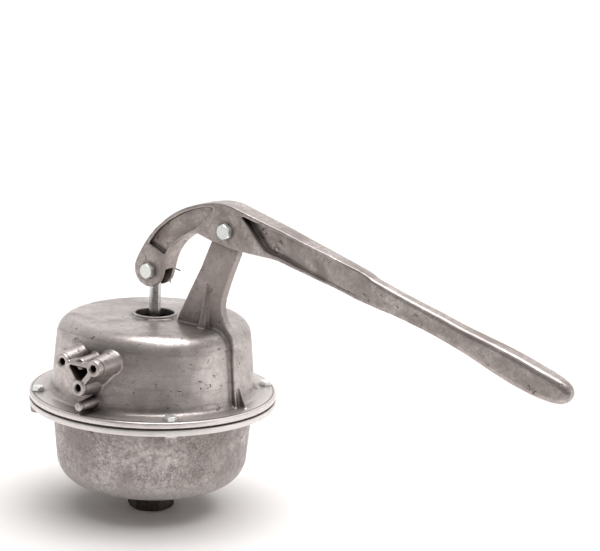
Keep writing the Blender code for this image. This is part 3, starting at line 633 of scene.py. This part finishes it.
def inlet_fitting():
    bottom = -PARTING_Z
    hex_top = BOWL_BOTTOM_Z - 2.6
    corner_r = INLET_AF / 2 / math.cos(math.pi / 6)
    body = bar("inlet_hexagon", (0, 0, bottom), (0, 0, hex_top), corner_r, corner_r, 6)
    chamfer = [(32, bottom - 2), (32, bottom + 6), (INLET_AF / 2 - 1.5, bottom - 2)]
    carve(body, turned("chamfer", chamfer, 96))
    weld(body, bar("neck", (0, 0, hex_top - 3), (0, 0, SEAT_PAD_Z - 1), 22.0, 22.0, 96))
    carve(body, thread_tool("pipe_thread", bottom - 3, bottom + 22))
    carve(body, bar("port", (0, 0, bottom - 5), (0, 0, -80), 16.0, 16.0, 96))
    body.data.shade_smooth()
    body.data.set_sharp_from_angle(angle=math.radians(24))
    return body


def inlet_gasket():
    top = BOWL_BOTTOM_Z - 0.3
    outline = [(22.3, top - 2), (26.6, top - 2), (27, top - 1.6), (27, top - 0.4), (26.6, top), (22.3, top)]
    body = turned("gasket_ring", outline, 96)
    body.data.shade_smooth()
    body.data.set_sharp_from_angle(angle=math.radians(50))
    return body


DISC_Z = -18.0
RUBBER_T = 1.4
RUBBER_R = 146.9
RUBBER_HOLE_R = 46.0
ROLL_R = (112, 66)            # where the rubber leaves the flanges and meets the plates
ROLL_STEPS = 28


def diaphragm():
    """One rubber sheet: flat between the flanges, rolling down to the clamp plates."""
    half = RUBBER_T / 2
    top = []
    for i in range(ROLL_STEPS + 1):
        share = i / ROLL_STEPS
        radius = ROLL_R[0] - share * (ROLL_R[0] - ROLL_R[1])
        top.append((radius, DISC_Z * share * share * (3 - 2 * share) + half))
    bottom = [(r, z - RUBBER_T) for r, z in reversed(top)]
    hole = [(RUBBER_HOLE_R, DISC_Z + half), (RUBBER_HOLE_R, DISC_Z - half)]
    outline = [(RUBBER_R, half)] + top + hole + bottom + [(RUBBER_R, -half)]
    body = turned("rubber_sheet", outline, 144)
    for angle in BOLT_ANGLES:
        x, y = on_circle(BOLT_CIRCLE_R, angle)
        carve(body, bar("bolt_hole", (x, y, -5), (x, y, 5), BOLT_HOLE_R, BOLT_HOLE_R, 24))
        x, y = on_circle(56, angle)
        carve(body, bar("screw_hole", (x, y, -30), (x, y, -5), 3.0, 3.0, 16))
    body.data.shade_smooth()
    body.data.set_sharp_from_angle(angle=math.radians(45))
    return body


# ---- flange bolts, one Geometry Nodes piece ------------------------------------------
def bolt_inputs():
    seat = FLANGE_HIGH + PARTING_Z
    return (("Bolts", "NodeSocketInt", len(BOLT_ANGLES)),
            ("Circle Radius", "NodeSocketFloat", BOLT_CIRCLE_R * MM),
            ("First Angle", "NodeSocketFloat", math.radians(BOLT_ANGLES[0])),
            ("Seat Height", "NodeSocketFloat", seat * MM), ("Across Flats", "NodeSocketFloat", 0.013),
            ("Head Height", "NodeSocketFloat", 0.0053), ("Shank Radius", "NodeSocketFloat", 0.004),
            ("Shank Length", "NodeSocketFloat", 0.024), ("Turn", "NodeSocketFloat", 0.61))


def bolt_nodes(mat):
    """Hex-headed bolts on a circle; returns the node group and its input identifiers."""
    tree = bpy.data.node_groups.new("flange_bolt_ring", "GeometryNodeTree")
    keys = {}
    for label, kind, value in bolt_inputs():
        socket = tree.interface.new_socket(label, in_out="INPUT", socket_type=kind)
        keys[label] = socket.identifier
    tree.interface.new_socket("Geometry", in_out="OUTPUT", socket_type="NodeSocketGeometry")
    given = tree.nodes.new("NodeGroupInput")
    result = tree.nodes.new("NodeGroupOutput")

    def put(kind, links=(), **values):
        made = tree.nodes.new(kind)
        for key, value in values.items():
            made.inputs[key.replace("_", " ")].default_value = value
        for key, source in links:
            tree.links.new(source, made.inputs[key])
        return made

    def maths(operation, a, b):
        made = tree.nodes.new("ShaderNodeMath")
        made.operation = operation
        for socket, value in zip(made.inputs, (a, b)):
            if isinstance(value, (int, float)):
                socket.default_value = value
            else:
                tree.links.new(value, socket)
        return made.outputs[0]

    def upward(height):
        made = tree.nodes.new("ShaderNodeCombineXYZ")
        tree.links.new(height, made.inputs["Z"])
        return made.outputs[0]

    head_h = given.outputs["Head Height"]
    flats = given.outputs["Across Flats"]
    shank_l = given.outputs["Shank Length"]
    corner = maths("MULTIPLY", flats, 0.5 / math.cos(math.pi / 6))
    prism = put("GeometryNodeMeshCylinder", (("Radius", corner), ("Depth", head_h)), Vertices=6)
    dome_top = maths("MULTIPLY", flats, 0.47)
    dome_foot = maths("MULTIPLY", flats, 0.83)
    dome = put("GeometryNodeMeshCone", (("Radius Top", dome_top), ("Radius Bottom", dome_foot),
                                        ("Depth", head_h)), Vertices=60)
    dome_low = put("GeometryNodeTransform", (("Geometry", dome.outputs["Mesh"]),
                                            ("Translation", upward(maths("MULTIPLY", head_h, -0.5)))))
    head = tree.nodes.new("GeometryNodeMeshBoolean")
    head.operation = "INTERSECT"
    head.solver = "EXACT"
    tree.links.new(prism.outputs["Mesh"], head.inputs["Mesh 2"])
    tree.links.new(dome_low.outputs[0], head.inputs["Mesh 2"])
    raised = put("GeometryNodeTransform", (("Geometry", head.outputs["Mesh"]),
                                          ("Translation", upward(maths("MULTIPLY", head_h, 0.5)))))
    shank = put("GeometryNodeMeshCylinder", (("Radius", given.outputs["Shank Radius"]), ("Depth", shank_l)),
                Vertices=32)
    shank_drop = maths("MULTIPLY", maths("SUBTRACT", shank_l, 0.002), -0.5)
    shank_down = put("GeometryNodeTransform", (("Geometry", shank.outputs["Mesh"]),
                                              ("Translation", upward(shank_drop))))
    bolt = tree.nodes.new("GeometryNodeMeshBoolean")
    bolt.operation = "UNION"
    bolt.solver = "EXACT"
    tree.links.new(raised.outputs[0], bolt.inputs["Mesh 2"])
    tree.links.new(shank_down.outputs[0], bolt.inputs["Mesh 2"])
    ring = put("GeometryNodeMeshCircle", (("Vertices", given.outputs["Bolts"]),
                                         ("Radius", given.outputs["Circle Radius"])))
    spin = tree.nodes.new("ShaderNodeCombineXYZ")
    tree.links.new(given.outputs["First Angle"], spin.inputs["Z"])
    placed = put("GeometryNodeTransform", (("Geometry", ring.outputs["Mesh"]), ("Rotation", spin.outputs[0]),
                                          ("Translation", upward(given.outputs["Seat Height"]))))
    index = tree.nodes.new("GeometryNodeInputIndex")
    turn = tree.nodes.new("ShaderNodeCombineXYZ")
    tree.links.new(maths("MULTIPLY", index.outputs[0], given.outputs["Turn"]), turn.inputs["Z"])
    bolts = put("GeometryNodeInstanceOnPoints", (("Points", placed.outputs[0]),
                                                ("Instance", bolt.outputs["Mesh"]),
                                                ("Rotation", turn.outputs[0])))
    real = put("GeometryNodeRealizeInstances", (("Geometry", bolts.outputs[0]),))
    finish = put("GeometryNodeSetMaterial", (("Geometry", real.outputs[0]),), Material=mat)
    tree.links.new(finish.outputs[0], result.inputs[0])
    return tree, keys


def flange_bolts(mat):
    holder = bpy.data.objects.new("bolt_rule", bpy.data.meshes.new("bolt_rule"))
    bpy.context.collection.objects.link(holder)
    rule = holder.modifiers.new("bolts", "NODES")
    rule.node_group, keys = bolt_nodes(mat)
    for label, kind, value in bolt_inputs():
        rule[keys[label]] = value
    apply_modifiers(holder)
    holder.name = "hex_bolts"
    close_seams(holder)
    holder.data.shade_smooth()
    holder.data.set_sharp_from_angle(angle=math.radians(22))
    return holder


# ---- materials -----------------------------------------------------------------------
def shader_tree(name):
    mat = bpy.data.materials.new(name)
    mat.use_nodes = True
    tree = mat.node_tree
    return mat, tree, tree.nodes["Principled BSDF"]


def node(tree, kind, **inputs):
    made = tree.nodes.new(kind)
    for key, value in inputs.items():
        made.inputs[key.replace("_", " ")].default_value = value
    return made


def pattern_noise(tree, vector, scale, detail=4.0, rough=0.55, distortion=0.0):
    made = node(tree, "ShaderNodeTexNoise", Scale=scale, Detail=detail, Roughness=rough,
                Distortion=distortion)
    tree.links.new(vector, made.inputs["Vector"])
    return made.outputs["Fac"]


def remap(tree, value, from_low, from_high, to_low=0.0, to_high=1.0):
    made = tree.nodes.new("ShaderNodeMapRange")
    made.inputs["From Min"].default_value = from_low
    made.inputs["From Max"].default_value = from_high
    made.inputs["To Min"].default_value = to_low
    made.inputs["To Max"].default_value = to_high
    tree.links.new(value, made.inputs["Value"])
    return made.outputs["Result"]


def blend_colour(tree, share, first, second):
    made = tree.nodes.new("ShaderNodeMix")
    made.data_type = "RGBA"
    if isinstance(share, float):
        made.inputs[0].default_value = share
    else:
        tree.links.new(share, made.inputs[0])
    for socket, colour in ((made.inputs[6], first), (made.inputs[7], second)):
        if isinstance(colour, tuple):
            socket.default_value = (*colour, 1.0)
        else:
            tree.links.new(colour, socket)
    return made.outputs[2]


def combine_values(tree, operation, a, b):
    made = tree.nodes.new("ShaderNodeMath")
    made.operation = operation
    for socket, value in zip(made.inputs, (a, b)):
        if isinstance(value, (int, float)):
            socket.default_value = value
        else:
            tree.links.new(value, socket)
    return made.outputs[0]


def add_bump(tree, shader, layers):
    """Stack bump layers of (height, strength, distance in metres)."""
    normal = None
    for height, strength, distance in layers:
        made = node(tree, "ShaderNodeBump", Strength=strength, Distance=distance)
        tree.links.new(height, made.inputs["Height"])
        if normal:
            tree.links.new(normal, made.inputs["Normal"])
        normal = made.outputs["Normal"]
    tree.links.new(normal, shader.inputs["Normal"])


def occlusion(tree, distance, inside=False, samples=6):
    """How open the surface is: 1 on open faces, less in corners, or on convex edges when inside."""
    made = tree.nodes.new("ShaderNodeAmbientOcclusion")
    made.inputs["Distance"].default_value = distance
    made.inside = inside
    made.samples = samples
    return made.outputs["AO"]


def cell_lines(tree, place, scale, width, waver, waver_scale=90.0):
    """Wavering lines along the borders of irregular cells."""
    warp = node(tree, "ShaderNodeTexNoise", Scale=waver_scale, Detail=3.0)
    tree.links.new(place, warp.inputs["Vector"])
    shift = tree.nodes.new("ShaderNodeVectorMath")
    shift.operation = "MULTIPLY_ADD"
    shift.inputs[1].default_value = (waver, waver, waver)
    tree.links.new(warp.outputs["Color"], shift.inputs[0])
    tree.links.new(place, shift.inputs[2])
    cells = node(tree, "ShaderNodeTexVoronoi", Scale=scale)
    cells.feature = "DISTANCE_TO_EDGE"
    tree.links.new(shift.outputs[0], cells.inputs["Vector"])
    return remap(tree, cells.outputs["Distance"], 0.0, width, 1.0, 0.0)


def masked(tree, value, mask, strength):
    return combine_values(tree, "MULTIPLY", combine_values(tree, "MULTIPLY", value, mask), strength)


def height_of(tree, place):
    """Height above the parting plane, in metres."""
    parts = tree.nodes.new("ShaderNodeSeparateXYZ")
    tree.links.new(place, parts.inputs[0])
    return combine_values(tree, "SUBTRACT", parts.outputs[2], PARTING_Z * MM)


def groove_shade_ring(tree, place):
    """Painted shade in the fine groove just inside the upper flange's rim."""
    parts = tree.nodes.new("ShaderNodeSeparateXYZ")
    tree.links.new(place, parts.inputs[0])
    squares = [combine_values(tree, "POWER", parts.outputs[axis], 2.0) for axis in (0, 1)]
    radius = combine_values(tree, "SQRT", combine_values(tree, "ADD", *squares), 0.0)
    off = combine_values(tree, "ABSOLUTE", combine_values(tree, "SUBTRACT", radius, GROOVE_R * MM), 0.0)
    ring = remap(tree, off, 0.0004, 0.0011, 1.0, 0.0)
    above = remap(tree, parts.outputs[2], (PARTING_Z + 6.0) * MM, (PARTING_Z + 7.0) * MM)
    return combine_values(tree, "MULTIPLY", ring, above)


def cast_alloy(name, light, dark, rough, grain, streaks=0.0, crackle=0.0, nicks=0.0, scratches=0.0, wear=0.5,
               mottle=0.3, speckle=0.45, corners=0.6, light_shade_bands=(), groove_shade=False):
    """Die-cast aluminium: blotches, grain, handling streaks, nicks, worn edges, painted shade in the corners and
    hollows.

    The bands hold painted light and shade laid on by height: (fades in from, full at, tone, strength), with
    heights above the parting plane.
    """
    # dark colour for real streaks, crackle, scratches and nicks, and also for the painted shade in corners,
    # recesses and the groove
    dirt_and_shade = (0.085, 0.062, 0.056)
    mat, tree, shader = shader_tree(name)
    place = tree.nodes.new("ShaderNodeTexCoord").outputs["Object"]
    blotches = pattern_noise(tree, place, 22.0, 5.0, 0.6, 0.6)
    patches = pattern_noise(tree, place, 150.0, 4.0, 0.62, 0.4)
    fine = pattern_noise(tree, place, grain, 5.0, 0.7)
    colour = blend_colour(tree, remap(tree, blotches, 0.34, 0.66), dark, light)
    colour = blend_colour(tree, remap(tree, patches, 0.45, 0.60, 0.0, mottle), colour, dark)
    colour = blend_colour(tree, remap(tree, fine, 0.44, 0.60, 0.0, speckle), colour, dark)
    level = tree.nodes.new("ShaderNodeMapping")
    level.inputs["Scale"].default_value = (9.0, 14.0, 120.0)
    tree.links.new(place, level.inputs["Vector"])
    lines = pattern_noise(tree, level.outputs["Vector"], 1.0, 6.0, 0.65, 1.2)
    colour = blend_colour(tree, remap(tree, lines, 0.55, 0.74, 0.0, streaks), colour, dirt_and_shade)
    patchy = remap(tree, pattern_noise(tree, place, 16.0, 3.0), 0.42, 0.60, 0.25, 1.0)
    network = masked(tree, cell_lines(tree, place, 210.0, 0.10, 0.012), patchy, crackle)
    colour = blend_colour(tree, network, colour, dirt_and_shade)
    sparse = remap(tree, pattern_noise(tree, place, 60.0, 2.0), 0.56, 0.62)
    marks = masked(tree, cell_lines(tree, place, 34.0, 0.012, 0.03, 12.0), sparse, scratches)
    colour = blend_colour(tree, marks, colour, dirt_and_shade)
    chips = remap(tree, pattern_noise(tree, place, 120.0, 2.0, 0.4, 1.4), 0.685, 0.72, 0.0, nicks)
    colour = blend_colour(tree, chips, colour, dirt_and_shade)
    edges = remap(tree, occlusion(tree, 0.0016, True), 0.93, 0.62)
    worn = combine_values(tree, "MULTIPLY", edges, remap(tree, patches, 0.35, 0.62, 0.55 * wear, wear))
    colour = blend_colour(tree, worn, colour, (0.80, 0.76, 0.74))
    # painted light and shade: zones lightened or darkened by height
    for fade_from, full_at, tone, strength in light_shade_bands:
        share = remap(tree, height_of(tree, place), fade_from * MM, full_at * MM, 0.0, strength)
        colour = blend_colour(tree, share, colour, tone)
    # a dark ring painted as the shade in the fine groove near the upper flange's rim
    if groove_shade:
        painted_groove_shade = combine_values(tree, "MULTIPLY", groove_shade_ring(tree, place), 0.8)
        colour = blend_colour(tree, painted_groove_shade, colour, dirt_and_shade)
    # painted shade: tight corners and recesses are darkened by short-range occlusion
    near = remap(tree, occlusion(tree, 0.008), 0.30, 0.90, 0.8, 0.0)
    colour = blend_colour(tree, near, colour, dirt_and_shade)
    # painted shade over wider corners and recesses, as strong as the corners argument
    wide = occlusion(tree, 0.035, samples=8)
    colour = blend_colour(tree, remap(tree, wide, 0.45, 0.95, corners, 0.0), colour, dirt_and_shade)
    # painted shade: deep hollows such as the duct and cored holes go near black and less metallic, so they stay
    # dark
    painted_hollow_shade = remap(tree, wide, 0.18, 0.50, 0.98, 0.0)
    colour = blend_colour(tree, painted_hollow_shade, colour, (0.022, 0.010, 0.009))
    tree.links.new(colour, shader.inputs["Base Color"])
    tree.links.new(remap(tree, painted_hollow_shade, 0.0, 0.9, 0.78, 0.2), shader.inputs["Metallic"])
    tree.links.new(remap(tree, patches, 0.3, 0.7, rough - 0.07, rough + 0.10), shader.inputs["Roughness"])
    rolling = pattern_noise(tree, place, 48.0, 3.0)
    dents = combine_values(tree, "SUBTRACT", 1.0, chips)
    add_bump(tree, shader, ((rolling, 0.35, 0.0010), (patches, 0.35, 0.0004), (fine, 0.5, 0.00025),
                            (dents, 0.6, 0.0006)))
    return mat


def plated(name, light, dark, metallic, rough, scale, bump=0.00008):
    """Plated, drawn or oiled metal with a fine uneven tone."""
    mat, tree, shader = shader_tree(name)
    place = tree.nodes.new("ShaderNodeTexCoord").outputs["Object"]
    tone = pattern_noise(tree, place, scale, 5.0, 0.6)
    fine = pattern_noise(tree, place, scale * 9, 3.0, 0.6)
    colour = blend_colour(tree, remap(tree, tone, 0.35, 0.65), dark, light)
    tree.links.new(colour, shader.inputs["Base Color"])
    shader.inputs["Metallic"].default_value = metallic
    tree.links.new(remap(tree, fine, 0.3, 0.7, rough - 0.05, rough + 0.08), shader.inputs["Roughness"])
    add_bump(tree, shader, ((tone, 0.3, bump * 3), (fine, 0.5, bump)))
    return mat


# ---- stage, lights and camera --------------------------------------------------------
UNIT = 0.0012                # the view's own unit, metres
VIEW_FOCUS = 2090.38         # focal length, for a frame this many units wide
FRAME_WIDTH = 600.0
SENSOR = 36.0
VIEW_AZIMUTH = 34.38
VIEW_ELEVATION = 12.62
VIEW_ROLL = 2.08
VIEW_DISTANCE = 2089.03
VIEW_RIGHT = 142.41
VIEW_UP = 123.94
TABLE_HALF_W = 7.0           # the table's reach, metres
TABLE_NEAR = -0.75
TABLE_FAR = 9.0


def camera():
    azimuth, elevation, roll = (math.radians(a) for a in (VIEW_AZIMUTH, VIEW_ELEVATION, VIEW_ROLL))
    back = Vector((math.sin(azimuth) * math.cos(elevation), -math.cos(azimuth) * math.cos(elevation),
                   math.sin(elevation)))
    right = Vector((math.cos(azimuth), math.sin(azimuth), 0))
    up = back.cross(right)
    rolled_right = right * math.cos(roll) + up * math.sin(roll)
    rolled_up = -right * math.sin(roll) + up * math.cos(roll)
    place = (back * VIEW_DISTANCE + right * VIEW_RIGHT + up * VIEW_UP) * UNIT + Vector((0, 0, PARTING_Z * MM))
    data = bpy.data.cameras.new("view")
    data.sensor_width = SENSOR
    data.lens = VIEW_FOCUS / FRAME_WIDTH * SENSOR
    obj = bpy.data.objects.new("view", data)
    bpy.context.collection.objects.link(obj)
    turn = Matrix((rolled_right, rolled_up, back)).transposed().to_4x4()
    obj.matrix_world = Matrix.Translation(place) @ turn
    bpy.context.scene.camera = obj


def soft_light(name, place, aim, size, power):
    data = bpy.data.lights.new(name, "AREA")
    data.shape = "RECTANGLE"
    data.size, data.size_y = size
    data.energy = power
    obj = bpy.data.objects.new(name, data)
    bpy.context.collection.objects.link(obj)
    obj.location = place
    obj.rotation_euler = (Vector(aim) - Vector(place)).to_track_quat("-Z", "Y").to_euler()
    return obj


def view_frame():
    """The view's level directions: away from the camera and to its right."""
    azimuth = math.radians(VIEW_AZIMUTH)
    away = Vector((-math.sin(azimuth), math.cos(azimuth), 0))
    right = Vector((math.cos(azimuth), math.sin(azimuth), 0))
    return away, right


def floor():
    """A pale table top that runs far back and ends just in front of the pump."""
    away, right = view_frame()
    bm = bmesh.new()
    corners = ((-TABLE_HALF_W, TABLE_NEAR), (TABLE_HALF_W, TABLE_NEAR), (TABLE_HALF_W, TABLE_FAR),
               (-TABLE_HALF_W, TABLE_FAR))
    bm.faces.new([bm.verts.new(right * side + away * depth) for side, depth in corners])
    mesh = bpy.data.meshes.new("table")
    bm.to_mesh(mesh)
    bm.free()
    obj = bpy.data.objects.new("table", mesh)
    obj.location.z = cad_low.z - 0.0004
    bpy.context.collection.objects.link(obj)
    mat, tree, shader = shader_tree("pale_table")
    shader.inputs["Base Color"].default_value = (0.93, 0.915, 0.905, 1)
    shader.inputs["Roughness"].default_value = 0.7
    mesh.materials.append(mat)


def sky():
    """A white room; in reflections it is bright behind the pump and above, dark on the camera's side."""
    away, right = view_frame()
    world = bpy.data.worlds.new("studio")
    world.use_nodes = True
    tree = world.node_tree
    background = tree.nodes["Background"]
    direction = tree.nodes.new("ShaderNodeTexCoord").outputs["Generated"]
    dot = tree.nodes.new("ShaderNodeVectorMath")
    dot.operation = "DOT_PRODUCT"
    tree.links.new(direction, dot.inputs[0])
    dot.inputs[1].default_value = away * 0.85 + right * 0.25 - Vector((0, 0, 0.15))
    lit = remap(tree, dot.outputs["Value"], -0.75, 0.80, 0.22, 1.0)
    path = tree.nodes.new("ShaderNodeLightPath")
    seen = tree.nodes.new("ShaderNodeMix")
    tree.links.new(path.outputs["Is Camera Ray"], seen.inputs[0])
    seen.inputs[2].default_value = 0.26
    seen.inputs[3].default_value = 1.25
    share = tree.nodes.new("ShaderNodeMix")
    tree.links.new(path.outputs["Is Glossy Ray"], share.inputs[0])
    tree.links.new(seen.outputs[0], share.inputs[2])
    tree.links.new(lit, share.inputs[3])
    tree.links.new(share.outputs[0], background.inputs["Strength"])
    background.inputs["Color"].default_value = (1.0, 0.985, 0.98, 1)
    bpy.context.scene.world = world


def sun_light(name, toward, power, spread):
    """Very soft daylight from overhead, which the metal doesn't mirror."""
    data = bpy.data.lights.new(name, "SUN")
    data.energy = power
    data.angle = math.radians(spread)
    data.color = (1.0, 0.985, 0.975)
    obj = bpy.data.objects.new(name, data)
    bpy.context.collection.objects.link(obj)
    obj.rotation_euler = Vector(toward).to_track_quat("Z", "Y").to_euler()
    obj.visible_glossy = False


def studio():
    away, right = view_frame()
    floor()
    sky()
    sun_light("daylight", right * 0.15 - away * 0.02 + Vector((0, 0, 1)), 3.4, 70)
    boxes = (("top_box", (0.22, 0.30, 1.9), (0.22, 0.299, 0), (1.5, 0.9), 26),
             ("right_box", (1.7, 0.45, 0.4), (0.05, 0, 0.2), (0.7, 0.9), 2.6),
             ("left_box", (-1.6, -0.6, 0.9), (0.05, 0, 0.2), (0.25, 1.1), 1.0))
    for name, place, aim, size, power in boxes:
        soft_light(name, place, aim, size, power).visible_diffuse = False
    bpy.context.scene.view_settings.view_transform = "Standard"


# ---- the pump ------------------------------------------------------------------------
def main():
    studio()
    camera()
    # painted reflected light as a pale band on the upper flange's top; painted shade as a darker band on the
    # bracket above the drum
    drum_alloy = cast_alloy("drum_cast", (0.66, 0.61, 0.595), (0.37, 0.33, 0.315), 0.33, 420.0,
                            streaks=0.45, nicks=0.9, scratches=0.5, wear=0.35, speckle=0.3, groove_shade=True,
                            light_shade_bands=((10.5, 8.7, (0.86, 0.81, 0.79), 0.7),
                                   (102, 130, (0.27, 0.225, 0.21), 0.6)))
    # painted highlight as a pale band along the lower flange's rim; painted reflected light makes the bowl paler
    # below 70 mm under the parting plane
    bowl_alloy = cast_alloy("bowl_cast", (0.62, 0.58, 0.565), (0.30, 0.265, 0.255), 0.42, 380.0,
                            streaks=0.12, crackle=0.6, nicks=0.5, wear=0.4, mottle=0.8,
                            light_shade_bands=((-9.8, -8.4, (0.86, 0.82, 0.80), 0.85),
                                   (-70, -98, (0.90, 0.86, 0.84), 0.35)))
    lever_alloy = cast_alloy("lever_cast", (0.74, 0.68, 0.655), (0.31, 0.265, 0.25), 0.36, 520.0,
                             crackle=0.1, nicks=0.7, wear=0.8, mottle=0.5, speckle=0.6, corners=0.2)
    zinc = plated("pale_zinc", (0.95, 0.97, 0.94), (0.86, 0.89, 0.87), 0.7, 0.30, 240.0)
    steel = plated("drawn_steel", (0.66, 0.65, 0.64), (0.5, 0.49, 0.48), 1.0, 0.24, 160.0)
    wire = plated("dull_wire", (0.2, 0.18, 0.17), (0.1, 0.09, 0.085), 0.9, 0.4, 300.0)
    iron = plated("oiled_iron", (0.075, 0.052, 0.045), (0.03, 0.02, 0.018), 0.5, 0.5, 200.0)
    brass = plated("valve_brass", (0.72, 0.55, 0.25), (0.6, 0.43, 0.18), 1.0, 0.34, 150.0)
    bronze = plated("bush_bronze", (0.55, 0.38, 0.2), (0.42, 0.28, 0.15), 1.0, 0.42, 300.0)
    rubber = plated("sheet_rubber", (0.030, 0.020, 0.017), (0.018, 0.012, 0.010), 0.0, 0.6, 260.0)
    fibre = plated("gasket_fibre", (0.3, 0.13, 0.09), (0.2, 0.08, 0.06), 0.0, 0.75, 400.0)

    fit_out(housing(), "pump_body", drum_alloy, "upper_housing", slot="drum_alloy")
    fit_out(bowl(), "pump_body", bowl_alloy, "lower_bowl", slot="bowl_alloy")
    fit_out(lever(), "lever", lever_alloy, "lever", slot="lever_alloy")
    for name, place in (("pivot", PIVOT), ("clevis", CLEVIS)):
        fit_out(pin(name + "_bolt", place), "lever", zinc, name + "_pin", slot="zinc_plate")
        fit_out(pin_washer(name + "_ring", place), "lever", zinc, name + "_washer", slot="zinc_plate")
        fit_out(split_pin(name + "_wire", place), "lever", wire, name + "_split_pin", slot="bright_steel")
    fit_out(piston_rod(), "rod", steel, "piston_rod", slot="bright_steel")
    fit_out(inlet_fitting(), "pump_body", iron, "inlet_fitting", slot="dark_iron")
    fit_out(inlet_gasket(), "pump_body", fibre, "inlet_gasket", slot="fibre")
    bolt_names = [f"flange_bolt_{number}" for number in range(1, len(BOLT_ANGLES) + 1)]
    fit_out(flange_bolts(zinc), "pump_body", zinc, *bolt_names, slot="zinc_plate")
    sheet = diaphragm()
    sheet.data.materials.append(rubber)
    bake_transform(sheet)
    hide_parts("diaphragm")

    finishes = {"drum_alloy": drum_alloy, "bowl_alloy": bowl_alloy, "lever_alloy": lever_alloy,
                "zinc_plate": zinc, "bright_steel": steel, "dark_iron": iron, "brass": brass,
                "bronze": bronze, "black_rubber": rubber, "fibre": fibre}
    for entry in frame["record"]["subparts"]:
        cad_node = frame["nodes"][entry["node"]]
        cad_node.data.materials.clear()
        cad_node.data.materials.append(finishes[entry["material_slot"]])


main()
